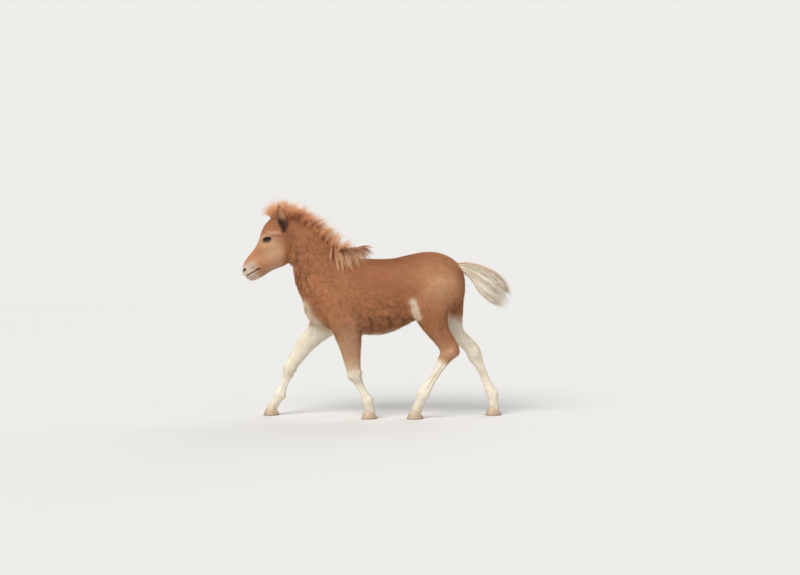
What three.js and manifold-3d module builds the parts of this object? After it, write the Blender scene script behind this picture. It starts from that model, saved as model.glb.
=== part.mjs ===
// A Shetland pony foal, about two months old, life size, caught in mid stride.
// Millimetres, +Z up. The foal faces -X and its left side faces -Y. The floor is Z = 0.
// Each part of the body is a loft: rings of a rounded outline, each set between two points of the side view.

import * as THREE from "three";
import { mergeVertices } from "three/addons/utils/BufferGeometryUtils.js";
import Module from "manifold-3d";

const wasm = await Module();
wasm.setup();

// Driving dimensions.
const GAP = 0.3; // clearance between touching pieces
const HOOF_HEIGHT = 28; // floor to the coronet
const HOOF_TOE = 15; // how far the sole reaches ahead of the coronet
const HOOF_HEEL = 4;
const FOREARM = 205; // elbow to knee
const FORE_CANNON = 112; // knee to fetlock
const GASKIN = 198; // stifle to hock
const HIND_CANNON = 192; // hock to fetlock
const EYE = [-478, 44, 729]; // centre of the right eye
const EYE_RADIUS = 19;
const NOSTRIL = [-571, 27, 603];
const LEFT = -1;
const RIGHT = 1;

// Cuts in the side view that part the body, each from one point to another.
const HEAD_CUT = [
  [-384, 600],
  [-376, 900],
]; // the head is on its left, going up
const NECK_CUT = [
  [-330, 400],
  [-88, 690],
]; // the neck is on its left, going up
const LEG_CUT = [
  [-700, 336],
  [40, 336],
  [95, 372],
  [340, 470],
  [600, 574],
]; // the legs are below it

// A station of a loft: two points of the side view, the middle's Y, the half width, how much wider the first
// end is than the second, and the roundness, where 2 is an ellipse and more is squarer.
const station = (ax, az, bx, bz, y, half, taper = 0, round = 2.2) => [ax, az, bx, bz, y, half, taper, round];

class Loft {
  constructor(stations, sides, ringsPerSpan) {
    this.stations = stations;
    this.sides = sides;
    this.rings = (stations.length - 1) * ringsPerSpan;
  }

  // The station at t, from 0 to 1, by a Catmull-Rom curve through the given ones.
  at(t) {
    const last = this.stations.length - 1;
    const place = THREE.MathUtils.clamp(t, 0, 1) * last;
    const i = Math.min(Math.floor(place), last - 1);
    const f = place - i;
    const given = (k) => this.stations[THREE.MathUtils.clamp(k, 0, last)];
    const [p, q, r, s] = [given(i - 1), given(i), given(i + 1), given(i + 2)];
    return q.map((value, k) => {
      const linear = (r[k] - p[k]) * f;
      const square = (2 * p[k] - 5 * value + 4 * r[k] - s[k]) * f * f;
      const cube = (3 * value - p[k] - 3 * r[k] + s[k]) * f * f * f;
      return value + (linear + square + cube) / 2;
    });
  }

  // The point at t along and an angle round, where 0 is the first end and a quarter turn is towards +Y.
  point(t, angle, grow = 0) {
    const [ax, az, bx, bz, y, half, taper, round] = this.at(t);
    const squared = (v) => Math.sign(v) * Math.abs(v) ** (2 / round);
    const u = squared(Math.cos(angle));
    const v = squared(Math.sin(angle));
    const depth = Math.hypot(ax - bx, az - bz) / 2;
    const reach = (u * (depth + grow)) / depth;
    return new THREE.Vector3(
      (ax + bx + (ax - bx) * reach) / 2,
      y + (half + grow) * (1 + taper * u) * v,
      (az + bz + (az - bz) * reach) / 2,
    );
  }

  geometry(grow = 0) {
    const { sides, rings } = this;
    const points = [];
    const faces = [];
    for (let i = 0; i <= rings; i++) {
      for (let k = 0; k < sides; k++) {
        points.push(this.point(i / rings, (k / sides) * 2 * Math.PI, grow));
      }
    }
    for (let i = 0; i < rings; i++) {
      for (let k = 0; k < sides; k++) {
        const a = i * sides + k;
        const b = i * sides + ((k + 1) % sides);
        faces.push(a, b, b + sides, a, b + sides, a + sides);
      }
    }
    for (const [first, turned] of [
      [0, true],
      [rings * sides, false],
    ]) {
      const middle = points.length;
      const ring = points.slice(first, first + sides);
      points.push(ring.reduce((sum, p) => sum.add(p), new THREE.Vector3()).divideScalar(sides));
      for (let k = 0; k < sides; k++) {
        const a = first + k;
        const b = first + ((k + 1) % sides);
        faces.push(middle, turned ? b : a, turned ? a : b);
      }
    }
    return new THREE.BufferGeometry().setFromPoints(points).setIndex(faces);
  }
}

// A closed geometry as a solid, turned the right way out.
function solidOf(geometry) {
  const bare = new THREE.BufferGeometry().setAttribute("position", geometry.getAttribute("position"));
  bare.setIndex(geometry.index);
  const merged = mergeVertices(bare, 1e-4);
  const vertProperties = merged.attributes.position.array;
  const build = (triVerts) => new wasm.Manifold(new wasm.Mesh({ numProp: 3, vertProperties, triVerts }));
  const faces = new Uint32Array(merged.index.array);
  const solid = build(faces);
  return solid.volume() > 0 ? solid : build(faces.reverse());
}

// A solid's surface as a geometry.
function shapeOf(solid) {
  const { vertProperties, triVerts } = solid.getMesh();
  const shape = new THREE.BufferGeometry();
  shape.setAttribute("position", new THREE.BufferAttribute(vertProperties, 3));
  return shape.setIndex(new THREE.BufferAttribute(triVerts, 1));
}

const union = (solids) => wasm.Manifold.union(solids);
const loftSolid = (loft, grow = 0) => solidOf(loft.geometry(grow));
const mirrored = ([x, y, z], side) => [x, side * y, z];

// The largest closed surface of a solid, which leaves out loose scraps and fills sealed hollows.
function largest(solid) {
  return solid.decompose().reduce((best, s) => (s.volume() > best.volume() ? s : best));
}

function ellipsoid(centre, radii, turn = [0, 0, 0], segments = 18) {
  const shape = new THREE.SphereGeometry(1, segments, Math.round(segments * 0.6));
  shape.scale(...radii);
  shape.applyMatrix4(new THREE.Matrix4().makeRotationFromEuler(new THREE.Euler(...turn)));
  return solidOf(shape.translate(...centre));
}

// What lies on the left (1) or right (-1) of a cut, held back from it by a clearance.
function sideOf(solid, [[x1, z1], [x2, z2]], sign, clearance = GAP / 2) {
  const normal = new THREE.Vector3(z1 - z2, 0, x2 - x1).normalize().multiplyScalar(sign);
  return solid.trimByPlane(normal.toArray(), normal.x * x1 + normal.z * z1 + clearance);
}

// The space of the legs, below their cut and the given rise above it.
function legSpace(rise) {
  const corners = [[-700, -50], ...LEG_CUT.map(([x, z]) => [x, z + rise]), [600, -50]];
  const shape = new THREE.Shape(corners.map((p) => new THREE.Vector2(...p)));
  const block = new THREE.ExtrudeGeometry(shape, { depth: 600, bevelEnabled: false });
  return solidOf(indexed(block.rotateX(Math.PI / 2).translate(0, 300, 0)));
}

// A geometry without its normals and texture places, so that only shared points are left.
function indexed(geometry) {
  geometry.deleteAttribute("normal");
  geometry.deleteAttribute("uv");
  return mergeVertices(geometry, 1e-4);
}

// Torso: from the front of the breast to the buttocks, each station between the back line and the belly line.
const torso = new Loft(
  [
    station(-338, 492, -336, 470, 0, 14),
    station(-324, 540, -326, 425, 0, 56),
    station(-291, 590, -291, 376, 0, 80),
    station(-242, 624, -242, 354, 0, 92, -0.05),
    station(-180, 648, -180, 346, 0, 97, -0.08),
    station(-111, 656, -111, 343, 0, 101, -0.1),
    station(-41, 653, -41, 346, 0, 105, -0.08),
    station(29, 655, 29, 360, 0, 106, -0.03),
    station(90, 668, 90, 381, 0, 101),
    station(150, 680, 148, 408, 0, 96, 0.03),
    station(201, 681, 201, 436, 0, 93, 0.03),
    station(250, 668, 250, 458, 0, 86),
    station(290, 643, 291, 470, 0, 74, -0.05),
    station(319, 603, 320, 485, 0, 52, -0.1),
    station(331, 566, 332, 512, 0, 20, -0.1),
  ],
  24,
  2,
);

// Neck: from the poll down into the shoulders, each station between the crest and the throat.
const neck = new Loft(
  [
    station(-420, 812, -396, 690, 0, 34),
    station(-396, 826, -381, 652, 0, 45, -0.08),
    station(-362, 824, -379, 612, 0, 49, -0.14),
    station(-314, 796, -371, 562, 0, 54, -0.2),
    station(-266, 757, -353, 513, 0, 61, -0.26),
    station(-217, 712, -336, 468, 0, 71, -0.3),
    station(-160, 674, -316, 412, 0, 80, -0.3),
    station(-94, 650, -262, 372, 0, 84, -0.3),
    station(-40, 630, -180, 372, 0, 70, -0.3),
  ],
  22,
  2,
);

// Head: from the poll to the lips, each station between the bridge of the nose and the jaw.
const head = new Loft(
  [
    station(-392, 806, -362, 712, 0, 34, 0, 2.2),
    station(-408, 828, -369, 684, 0, 46, 0, 2.2),
    station(-437, 832, -374, 656, 0, 52, 0.04, 2.3),
    station(-469, 815, -389, 634, 0, 57, 0.12, 2.4),
    station(-494, 787, -411, 619, 0, 59, 0.2, 2.5),
    station(-508, 756, -435, 610, 0, 56, 0.26, 2.5),
    station(-517, 727, -458, 600, 0, 50, 0.22, 2.4),
    station(-530, 701, -478, 589, 0, 43, 0.16, 2.3),
    station(-546, 679, -495, 578, 0, 38, 0.06, 2.2),
    station(-563, 658, -511, 569, 0, 35, 0.02, 2.2),
    station(-576, 638, -529, 562, 0, 35, 0.04, 2.2),
    station(-584, 617, -546, 560, 0, 33, 0.08, 2.2),
    station(-586, 600, -561, 566, 0, 27, 0.1, 2.1),
    station(-581, 585, -570, 573, 0, 12, 0, 2),
  ],
  24,
  2,
);

// Half depths ahead of and behind the bones, and half widths, by place along a leg, where 0 is the elbow or
// the stifle, 1 the knee or the hock, 2 the fetlock and 3 the coronet.
const FORE_SECTIONS = [
  [0.2, 58, 57, 38],
  [0.42, 48, 49, 32],
  [0.65, 41, 40, 28],
  [0.87, 35, 34, 27],
  [1.0, 33, 34, 28],
  [1.12, 28, 31, 25],
  [1.3, 20, 24, 19],
  [1.5, 18, 22, 17],
  [1.75, 20, 24, 18],
  [1.97, 24, 31, 22],
  [2.35, 21, 26, 19],
  [2.7, 23, 25, 20],
  [3.0, 25, 27, 22],
];
const HIND_SECTIONS = [
  [0.25, 42, 90, 43],
  [0.5, 34, 58, 35],
  [0.72, 28, 54, 29],
  [0.88, 28, 55, 26],
  [1.0, 38, 46, 27],
  [1.1, 36, 35, 25],
  [1.22, 27, 27, 21],
  [1.45, 20, 23, 18],
  [1.75, 21, 25, 18],
  [1.97, 27, 33, 23],
  [2.35, 23, 28, 20],
  [2.7, 24, 26, 21],
  [3.0, 26, 28, 23],
];

// The point at a length from another, at an angle behind straight down.
function swing([x, , z], length, degrees, y) {
  const angle = THREE.MathUtils.degToRad(degrees);
  return [x + length * Math.sin(angle), y, z - length * Math.cos(angle)];
}

// The coronet under a fetlock, where the line of the pastern meets the top of the hoof.
function coronetUnder([x, , z], degrees, y) {
  return [x + (z - HOOF_HEIGHT) * Math.tan(THREE.MathUtils.degToRad(degrees)), y, HOOF_HEIGHT];
}

// The stations down a leg, each square to its bone and turned halfway to the next bone at a joint.
function limb(joints, sections) {
  const bones = joints.slice(1).map((p, i) => {
    return new THREE.Vector2(p[0] - joints[i][0], p[2] - joints[i][2]).normalize();
  });
  bones.push(new THREE.Vector2(0, -1));
  const blend = 0.3;
  return sections.map(([place, front, back, half]) => {
    const i = Math.min(Math.floor(place), joints.length - 2);
    const f = place - i;
    const [x, y, z] = joints[i].map((v, k) => v + (joints[i + 1][k] - v) * f);
    const down = bones[i].clone();
    if (f === 1) down.copy(bones[i + 1]);
    else if (f > 1 - blend) down.lerp(bones[i + 1], ((f - 1 + blend) / blend) * 0.5);
    else if (f < blend && i > 0) down.lerp(bones[i - 1], (1 - f / blend) * 0.5);
    down.normalize();
    return station(
      x + down.y * front,
      z - down.x * front,
      x - down.y * back,
      z + down.x * back,
      y,
      half,
    );
  });
}

// A hoof: a wall that slopes out from the coronet to a flat sole.
function hoof([x, y], [, front, back, half]) {
  const ring = (z, toe, heel, wide) => station(x - front - toe, z, x + back + heel, z, y, half + wide, 0.06);
  return new Loft(
    [
      ring(HOOF_HEIGHT - GAP, 1, 0, 1),
      ring(HOOF_HEIGHT * 0.55, HOOF_TOE * 0.45, HOOF_HEEL * 0.4, 3),
      ring(2, HOOF_TOE, HOOF_HEEL, 6),
      ring(0, HOOF_TOE - 1, HOOF_HEEL - 1, 5),
    ],
    18,
    1,
  );
}

// A leg from its muscle down to the coronet, with its hoof. The leans are behind straight down, and a bent leg
// is fuller behind its upper bone than one stretched out.
function leg({ side, middle, thigh, cannon, leans, fullness, upper, sections }) {
  const [thighLean, cannonLean, pasternLean] = leans;
  const top = swing(middle, -thigh, thighLean, middle[1] + side * 8);
  const fetlock = swing(middle, cannon, cannonLean, side * 60);
  const coronet = coronetUnder(fetlock, pasternLean, side * 60);
  const filled = sections.map(([place, front, back, half]) => {
    return [place, front, place > 1 ? back : back * fullness, half];
  });
  const lower = limb([top, middle, fetlock, coronet], filled);
  return { loft: new Loft([...upper, ...lower], 16, 1), foot: hoof(coronet, sections.at(-1)) };
}

const foreleg = { thigh: FOREARM, cannon: FORE_CANNON };
const hindleg = { thigh: GASKIN, cannon: HIND_CANNON };
const legs = {
  foreleg_left: leg({
    ...foreleg,
    side: LEFT,
    middle: [-121, -64, 172],
    leans: [9, 26, 15],
    fullness: 1,
    upper: [
      station(-240, 570, -130, 570, -38, 18),
      station(-258, 500, -96, 490, -50, 36),
      station(-250, 440, -82, 430, -60, 43),
      station(-228, 386, -78, 380, -66, 43),
    ],
    sections: FORE_SECTIONS,
  }),
  foreleg_right: leg({
    ...foreleg,
    side: RIGHT,
    middle: [-398, 64, 187],
    leans: [-34, -22, -29],
    fullness: 0.8,
    upper: [
      station(-262, 560, -160, 560, 38, 18),
      station(-284, 490, -140, 470, 50, 36),
      station(-298, 440, -150, 410, 59, 42),
      station(-312, 404, -190, 350, 63, 44),
      station(-334, 354, -256, 300, 66, 40),
    ],
    sections: FORE_SECTIONS.slice(1),
  }),
  hindleg_left: leg({
    ...hindleg,
    side: LEFT,
    middle: [257, -58, 262],
    leans: [31, -33, -20],
    fullness: 1.12,
    upper: [
      station(130, 640, 290, 600, -34, 30),
      station(108, 570, 322, 552, -48, 48),
      station(97, 515, 329, 508, -53, 51),
      station(98, 466, 314, 478, -57, 50),
      station(112, 420, 290, 456, -62, 48),
    ],
    sections: HIND_SECTIONS,
  }),
  hindleg_right: leg({
    ...hindleg,
    side: RIGHT,
    middle: [369, 58, 258],
    leans: [45, 23, 9],
    fullness: 0.75,
    upper: [
      station(132, 640, 296, 600, 34, 30),
      station(116, 570, 326, 552, 48, 48),
      station(120, 515, 333, 508, 53, 51),
      station(140, 460, 330, 462, 57, 50),
      station(170, 416, 328, 424, 61, 48),
      station(206, 372, 326, 388, 65, 44),
    ],
    sections: HIND_SECTIONS.slice(1),
  }),
};

// Ears: a leaf-shaped pinna with its cup open to the side.
const earOuter = (side) =>
  new Loft(
    [
      station(-424, 752, -398, 752, side * 30, 12),
      station(-436, 776, -394, 776, side * 38, 17),
      station(-440, 802, -393, 800, side * 45, 16),
      station(-438, 826, -402, 822, side * 50, 12),
      station(-433, 850, -418, 842, side * 54, 7),
      station(-431, 864, -427, 862, side * 56, 2),
    ],
    12,
    1,
  );
const earCup = (side) =>
  new Loft(
    [
      station(-422, 778, -408, 778, side * 57, 5),
      station(-431, 788, -401, 786, side * 58, 12),
      station(-434, 804, -399, 802, side * 60, 15),
      station(-433, 826, -407, 823, side * 61, 12),
      station(-431, 846, -421, 843, side * 61, 6),
    ],
    10,
    1,
  );

// A closed tube round a closed path.
function tubeRing(path, radius, sides) {
  const points = [];
  const faces = [];
  const count = path.length;
  const middle = path.reduce((sum, p) => sum.add(p), new THREE.Vector3()).divideScalar(count);
  path.forEach((p, i) => {
    const ahead = path[(i + 1) % count].clone().sub(path[(i - 1 + count) % count]).normalize();
    const out = p.clone().sub(middle);
    out.addScaledVector(ahead, -out.dot(ahead)).normalize();
    const across = ahead.clone().cross(out);
    for (let k = 0; k < sides; k++) {
      const a = (k / sides) * 2 * Math.PI;
      const rim = out.clone().multiplyScalar(Math.cos(a)).addScaledVector(across, Math.sin(a));
      points.push(p.clone().addScaledVector(rim, radius));
    }
  });
  for (let i = 0; i < count; i++) {
    for (let k = 0; k < sides; k++) {
      const [near, far] = [i * sides, ((i + 1) % count) * sides];
      const next = (k + 1) % sides;
      faces.push(near + k, near + next, far + next, near + k, far + next, far + k);
    }
  }
  return new THREE.BufferGeometry().setFromPoints(points).setIndex(faces);
}

// The lids ring the open part of the eyeball, the upper one higher than the lower.
function lids(side) {
  const [x, y, z] = mirrored(EYE, side);
  const reach = EYE_RADIUS + 0.5;
  const count = 12;
  const [length, upper, lower] = [17.5, 12, 9.5];
  const path = Array.from({ length: count }, (unused, k) => {
    const a = (k / count) * 2 * Math.PI;
    const along = length * Math.cos(a);
    const up = (Math.sin(a) > 0 ? upper : lower) * Math.sin(a);
    const out = Math.sqrt(reach * reach - along * along - up * up);
    return new THREE.Vector3(x + along, y + side * out, z + up + along * 0.12);
  });
  return solidOf(tubeRing(path, 4, 5));
}

const eyeball = (side, radius) => ellipsoid(mirrored(EYE, side), [radius, radius, radius], [0, 0, 0], 14);

function brow(side) {
  const [x, y, z] = EYE;
  return ellipsoid(mirrored([x + 2, y - 4, z + 2], side), [29, 17, 20], [0, 0, 0], 12);
}

// Nostrils: a comma-shaped hollow with a raised wing round it.
function nostril(side, lift, radii) {
  const [x, y, z] = NOSTRIL;
  return ellipsoid(mirrored([x, y + lift, z], side), radii, [0, 0.35, side * -0.5], 10);
}
const nostrilWing = (side) => nostril(side, -3, [12, 9, 15]);
const nostrilHollow = (side) => nostril(side, 5, [4.5, 9, 9]);

// The line of the mouth: a thin slit along the lips, only as deep as they are thick.
const MOUTH_LINE = [
  [-596, 573],
  [-568, 576],
  [-550, 586],
  [-527, 599],
  [-512, 609],
  [-500, 620],
];
const LIP_DEPTH = 7;

function mouthSlit() {
  const line = new THREE.CatmullRomCurve3(MOUTH_LINE.map(([x, z]) => new THREE.Vector3(x, 0, z)));
  const steps = 6;
  const edge = (sign) =>
    Array.from({ length: steps + 1 }, (unused, i) => {
      const { x, z } = line.getPoint(i / steps);
      return new THREE.Vector2(x, z + sign * THREE.MathUtils.lerp(2.6, 0.8, i / steps));
    });
  const shape = new THREE.Shape([...edge(1), ...edge(-1).reverse()]);
  const plate = new THREE.ExtrudeGeometry(shape, { depth: 120, bevelEnabled: false });
  const inside = new Loft(head.stations, 12, 1).geometry(-LIP_DEPTH).translate(LIP_DEPTH, 0, LIP_DEPTH / 2);
  return solidOf(indexed(plate.rotateX(Math.PI / 2).translate(0, 60, 0))).subtract(solidOf(inside));
}

// Hair grows as flat locks that taper and bend along the lie.
const LOCK_STEPS = 4;
const ROOT_DEPTH = 12; // how deep a root is sunk

// A repeatable run of numbers from 0 to 1.
function seeded(seed) {
  let state = seed;
  return () => {
    state = (state * 16807) % 2147483647;
    return state / 2147483647;
  };
}
const random = seeded(4711);
const vary = (low, high) => THREE.MathUtils.lerp(low, high, random());
const vector = (x, y, z) => new THREE.Vector3(x, y, z);

// A lock with four sides, along a path, with its flat side towards the given direction.
function lock(path, width, thickness, facing) {
  const curve = new THREE.CatmullRomCurve3(path);
  const points = [];
  const faces = [];
  for (let i = 0; i < LOCK_STEPS; i++) {
    const s = i / LOCK_STEPS;
    const middle = curve.getPoint(s);
    const along = curve.getTangent(s);
    const across = along.clone().cross(facing).normalize();
    const out = across.clone().cross(along);
    const wide = (width / 2) * (1 - s) ** 0.6 * (0.75 + 0.9 * s);
    const thick = (thickness / 2) * (1 - 0.7 * s);
    points.push(
      middle.clone().addScaledVector(across, wide),
      middle.clone().addScaledVector(out, thick),
      middle.clone().addScaledVector(across, -wide),
      middle.clone().addScaledVector(out, -thick),
    );
  }
  const tip = points.push(curve.getPoint(1)) - 1;
  for (let i = 0; i < LOCK_STEPS; i++) {
    for (let k = 0; k < 4; k++) {
      const a = i * 4 + k;
      const b = i * 4 + ((k + 1) % 4);
      if (i === LOCK_STEPS - 1) faces.push(a, b, tip);
      else faces.push(a, b, b + 4, a, b + 4, a + 4);
    }
  }
  faces.push(0, 2, 1, 0, 3, 2);
  return solidOf(new THREE.BufferGeometry().setFromPoints(points).setIndex(faces));
}

// A path that leaves its root in one direction and falls towards another.
function strand(root, direction, fall, length) {
  const path = [root.clone()];
  const steps = 4;
  direction.normalize();
  fall.normalize();
  for (let i = 0; i < steps; i++) {
    const heading = direction.clone().lerp(fall, (i + 0.5) / steps).normalize();
    path.push(path.at(-1).clone().addScaledVector(heading, length / steps));
  }
  return path;
}

// The mane stands up along the crest, leans back and parts to both sides.
function mane() {
  const rows = 16;
  return Array.from({ length: 2 * rows }, (unused, k) => {
    const side = k % 2 === 0 ? LEFT : RIGHT;
    const t = THREE.MathUtils.lerp(0.07, 0.7, Math.floor(k / 2) / (rows - 1)) + vary(-0.01, 0.01);
    const root = neck.point(t, side * vary(0.05, 0.3), -ROOT_DEPTH);
    const direction = vector(vary(0, 0.35), side * vary(0, 0.35), 1);
    const back = vary(0.8, 1.2) * Math.min(1, 4 * t); // nearly upright at the poll
    const fall = vector(back, side * vary(0, 1), vary(-0.2, 0.3));
    return lock(strand(root, direction, fall, vary(64, 82)), vary(26, 34), vary(6, 8), vector(0, 1, 0));
  });
}

// The skin's point beside a place of the side view, held off it by a lift.
function besideSkin(skin, x, z, side, lift) {
  const ray = new THREE.Raycaster(vector(x, side * 400, z), vector(0, -side, 0));
  const [hit] = ray.intersectObject(skin);
  return vector(x, (hit ? hit.point.y : 0) + side * lift, z);
}

// The tuft over the withers fans out from the foot of the crest, down the left side and back.
function withersTuft(skin) {
  const count = 16;
  return Array.from({ length: count }, (unused, k) => {
    const f = k / (count - 1);
    const side = k % 4 === 3 ? RIGHT : LEFT;
    const rootX = THREE.MathUtils.lerp(-232, -152, f) + vary(-5, 5);
    const crest = THREE.MathUtils.lerp(712, 676, f);
    const heading = THREE.MathUtils.degToRad(THREE.MathUtils.lerp(-80, 2, f) + vary(-9, 9));
    const length = THREE.MathUtils.lerp(112, 64, f) * vary(0.88, 1.08);
    const path = [0.3, 0.65, 1].map((s) => {
      const bow = Math.sin(Math.PI * s);
      const x = rootX + (Math.cos(heading) * length + 8) * s;
      const z = crest + Math.sin(heading) * length * s + 16 * bow;
      return besideSkin(skin, x, z, side, 8 + 8 * bow + vary(0, 5));
    });
    path.unshift(vector(rootX, side * 12, crest - ROOT_DEPTH));
    return lock(path, vary(20, 27), vary(6, 8), vector(0, 1, 0.4 * side));
  });
}

// The forelock rises between the ears. The foremost locks fall forwards and the last ones back.
function forelock() {
  const count = 14;
  return Array.from({ length: count }, (unused, k) => {
    const f = k / (count - 1);
    const side = k % 2 === 0 ? LEFT : RIGHT;
    const root = head.point(THREE.MathUtils.lerp(0.06, 0.2, f), side * vary(0.02, 0.4), -ROOT_DEPTH);
    const direction = vector(vary(-0.15, 0.15), side * vary(0, 0.2), 1);
    const ahead = THREE.MathUtils.lerp(0.8, -1.3, f);
    const fall = vector(ahead, side * vary(0, 0.4), THREE.MathUtils.lerp(0.8, -0.1, f));
    const path = strand(root, direction, fall, vary(66, 84));
    return lock(path, vary(24, 30), vary(6, 8), vector(0.2, 1, 0));
  });
}

// The dock is the tail's core. The locks leave it along the plume's own lines.
const dock = new Loft(
  [
    station(288, 632, 304, 590, 0, 15),
    station(322, 632, 322, 600, 0, 15),
    station(352, 627, 342, 594, 0, 14),
    station(384, 612, 368, 580, 0, 12),
    station(408, 588, 392, 564, 0, 9),
    station(420, 568, 408, 554, 0, 3),
  ],
  10,
  1,
);
const plume = new Loft(
  [
    station(296, 632, 306, 588, 0, 16),
    station(324, 636, 322, 594, 0, 19),
    station(352, 635, 336, 586, 0, 24),
    station(392, 628, 354, 560, 0, 30),
    station(432, 615, 372, 524, 0, 35),
    station(466, 594, 392, 496, 0, 37),
    station(492, 562, 426, 476, 0, 34),
    station(510, 528, 458, 462, 0, 28),
    station(518, 494, 486, 458, 0, 18),
  ],
  16,
  1,
);

function tailLocks() {
  const count = 26;
  const golden = Math.PI * (3 - Math.sqrt(5)); // turn from one lock to the next, so that they spread evenly
  return Array.from({ length: count }, (unused, k) => {
    const f = k / (count - 1);
    const place = THREE.MathUtils.lerp(0.15, 0.95, f);
    const angle = k * golden;
    const start = place * 0.45;
    const end = THREE.MathUtils.lerp(0.72, 1, f) + vary(-0.04, 0);
    const root = dock.point(place, angle, -5);
    const layer = THREE.MathUtils.lerp(1, 0.6, f);
    const path = [0.35, 0.7, 1].map((s) => {
      const t = THREE.MathUtils.lerp(start, end, s);
      const [ax, az, bx, bz] = plume.at(t);
      const rim = plume.point(t, angle + vary(-0.15, 0.15));
      return vector((ax + bx) / 2, 0, (az + bz) / 2).lerp(rim, THREE.MathUtils.lerp(0.7, layer, s));
    });
    const facing = dock.point(place, angle, 5).sub(root);
    return lock([root, ...path], vary(24, 32), vary(6, 8), facing);
  });
}

// The flesh is joined whole and then parted.
const trunk = [torso, neck, ...Object.values(legs).map(({ loft }) => loft)];
const flesh = union([
  ...[...trunk, head].map((loft) => loftSolid(loft)),
  ...[LEFT, RIGHT].flatMap((side) => [brow(side), lids(side), nostrilWing(side)]),
]);
const legFlesh = flesh.intersect(legSpace(-GAP / 2));
const upperFlesh = flesh.subtract(legSpace(GAP / 2));
const torsoFlesh = sideOf(upperFlesh, NECK_CUT, -1);
const foreFlesh = sideOf(upperFlesh, NECK_CUT, 1);
const neckFlesh = sideOf(foreFlesh, HEAD_CUT, -1);
const headFlesh = sideOf(foreFlesh, HEAD_CUT, 1);

// What hair of the neck keeps clear of: the head, and the torso's own skin grown by the clearance.
const grownTrunk = union(trunk.map((loft) => loftSolid(loft, GAP)));
const grownTorso = sideOf(grownTrunk, NECK_CUT, -1, -GAP / 2);
const grownHead = loftSolid(head, GAP);
const skin = new THREE.Mesh(shapeOf(flesh));
const ears = [LEFT, RIGHT].map((side) => ({
  solid: loftSolid(earOuter(side)).subtract(loftSolid(earCup(side))).subtract(grownHead),
  room: loftSolid(earOuter(side), GAP),
}));

const neckHair = sideOf(union([...mane(), ...withersTuft(skin)]), HEAD_CUT, -1);
const headHair = sideOf(union(forelock()), HEAD_CUT, 1);
const earRoom = union(ears.map(({ room }) => room));
const eyeRoom = union([LEFT, RIGHT].map((side) => eyeball(side, EYE_RADIUS + GAP)));

const solids = {
  torso: largest(torsoFlesh),
  neck: largest(neckFlesh.add(neckHair.subtract(grownTorso))),
  head: largest(
    headFlesh
      .add(headHair)
      .subtract(union([earRoom, eyeRoom, mouthSlit(), nostrilHollow(LEFT), nostrilHollow(RIGHT)])),
  ),
  ear_left: largest(ears[0].solid),
  ear_right: largest(ears[1].solid),
  eye_left: eyeball(LEFT, EYE_RADIUS),
  eye_right: eyeball(RIGHT, EYE_RADIUS),
  tail: largest(union([loftSolid(dock), ...tailLocks()]).subtract(grownTrunk)),
};

// Each leg is the piece of the legs over its own hoof.
for (const [name, { foot }] of Object.entries(legs)) {
  const hoofSolid = loftSolid(foot);
  const { min, max } = hoofSolid.boundingBox();
  const middle = vector(...min).add(vector(...max)).divideScalar(2);
  const own = legFlesh.decompose().filter((piece) => {
    const bounds = piece.boundingBox();
    const inside = bounds.min[0] < middle.x && bounds.max[0] > middle.x;
    return inside && Math.sign(bounds.min[1] + bounds.max[1]) === Math.sign(middle.y);
  });
  solids[name] = largest(union(own));
  solids[`hoof_${name.replace("leg", "")}`] = hoofSolid;
}

const CHESTNUT = 0xaa704b;
const CREAM = 0xe2cdb0;
const HORN = 0x8a6f58;
const DARK = 0x1a120d;
const finish = (color, roughness) => new THREE.MeshStandardMaterial({ color, roughness, metalness: 0 });

function materialOf(name) {
  if (name.startsWith("eye")) return finish(DARK, 0.1);
  if (name.startsWith("hoof")) return finish(HORN, 0.6);
  if (["tail", "foreleg_right", "hindleg_right"].includes(name)) return finish(CREAM, 0.9);
  return finish(CHESTNUT, 0.95);
}

const group = new THREE.Group();
for (const [name, solid] of Object.entries(solids)) {
  const mesh = new THREE.Mesh(shapeOf(solid), materialOf(name));
  mesh.name = name;
  group.add(mesh);
}

// The origin is on the floor, under the middle of the animal's box.
const { min, max } = new THREE.Box3().setFromObject(group);
group.position.set(-(min.x + max.x) / 2, -(min.y + max.y) / 2, -min.z);

export default group;
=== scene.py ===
"""A Shetland pony foal of one to two months in mid stride: one skin under a woolly coat of mesh tufts."""

import math

import bmesh
import bpy
import numpy as np
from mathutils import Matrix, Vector
from mathutils.bvhtree import BVHTree
from mathutils.kdtree import KDTree


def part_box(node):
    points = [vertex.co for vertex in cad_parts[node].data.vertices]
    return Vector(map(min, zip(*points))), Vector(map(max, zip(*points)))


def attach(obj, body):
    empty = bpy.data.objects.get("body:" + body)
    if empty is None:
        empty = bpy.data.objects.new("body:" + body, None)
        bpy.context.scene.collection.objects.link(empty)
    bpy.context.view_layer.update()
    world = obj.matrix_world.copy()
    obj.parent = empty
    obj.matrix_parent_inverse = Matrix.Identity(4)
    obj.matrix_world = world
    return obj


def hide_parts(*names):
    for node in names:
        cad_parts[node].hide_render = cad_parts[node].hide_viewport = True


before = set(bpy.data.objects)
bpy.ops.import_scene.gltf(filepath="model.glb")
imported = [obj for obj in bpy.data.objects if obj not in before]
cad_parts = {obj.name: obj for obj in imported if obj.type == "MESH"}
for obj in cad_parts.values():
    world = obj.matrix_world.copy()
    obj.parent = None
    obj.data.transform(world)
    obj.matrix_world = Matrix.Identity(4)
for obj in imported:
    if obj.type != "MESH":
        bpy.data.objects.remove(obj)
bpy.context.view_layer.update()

MM = 0.001
LEFT = -1
RIGHT = 1
UP = np.array([0.0, 0.0, 1.0])

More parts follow.
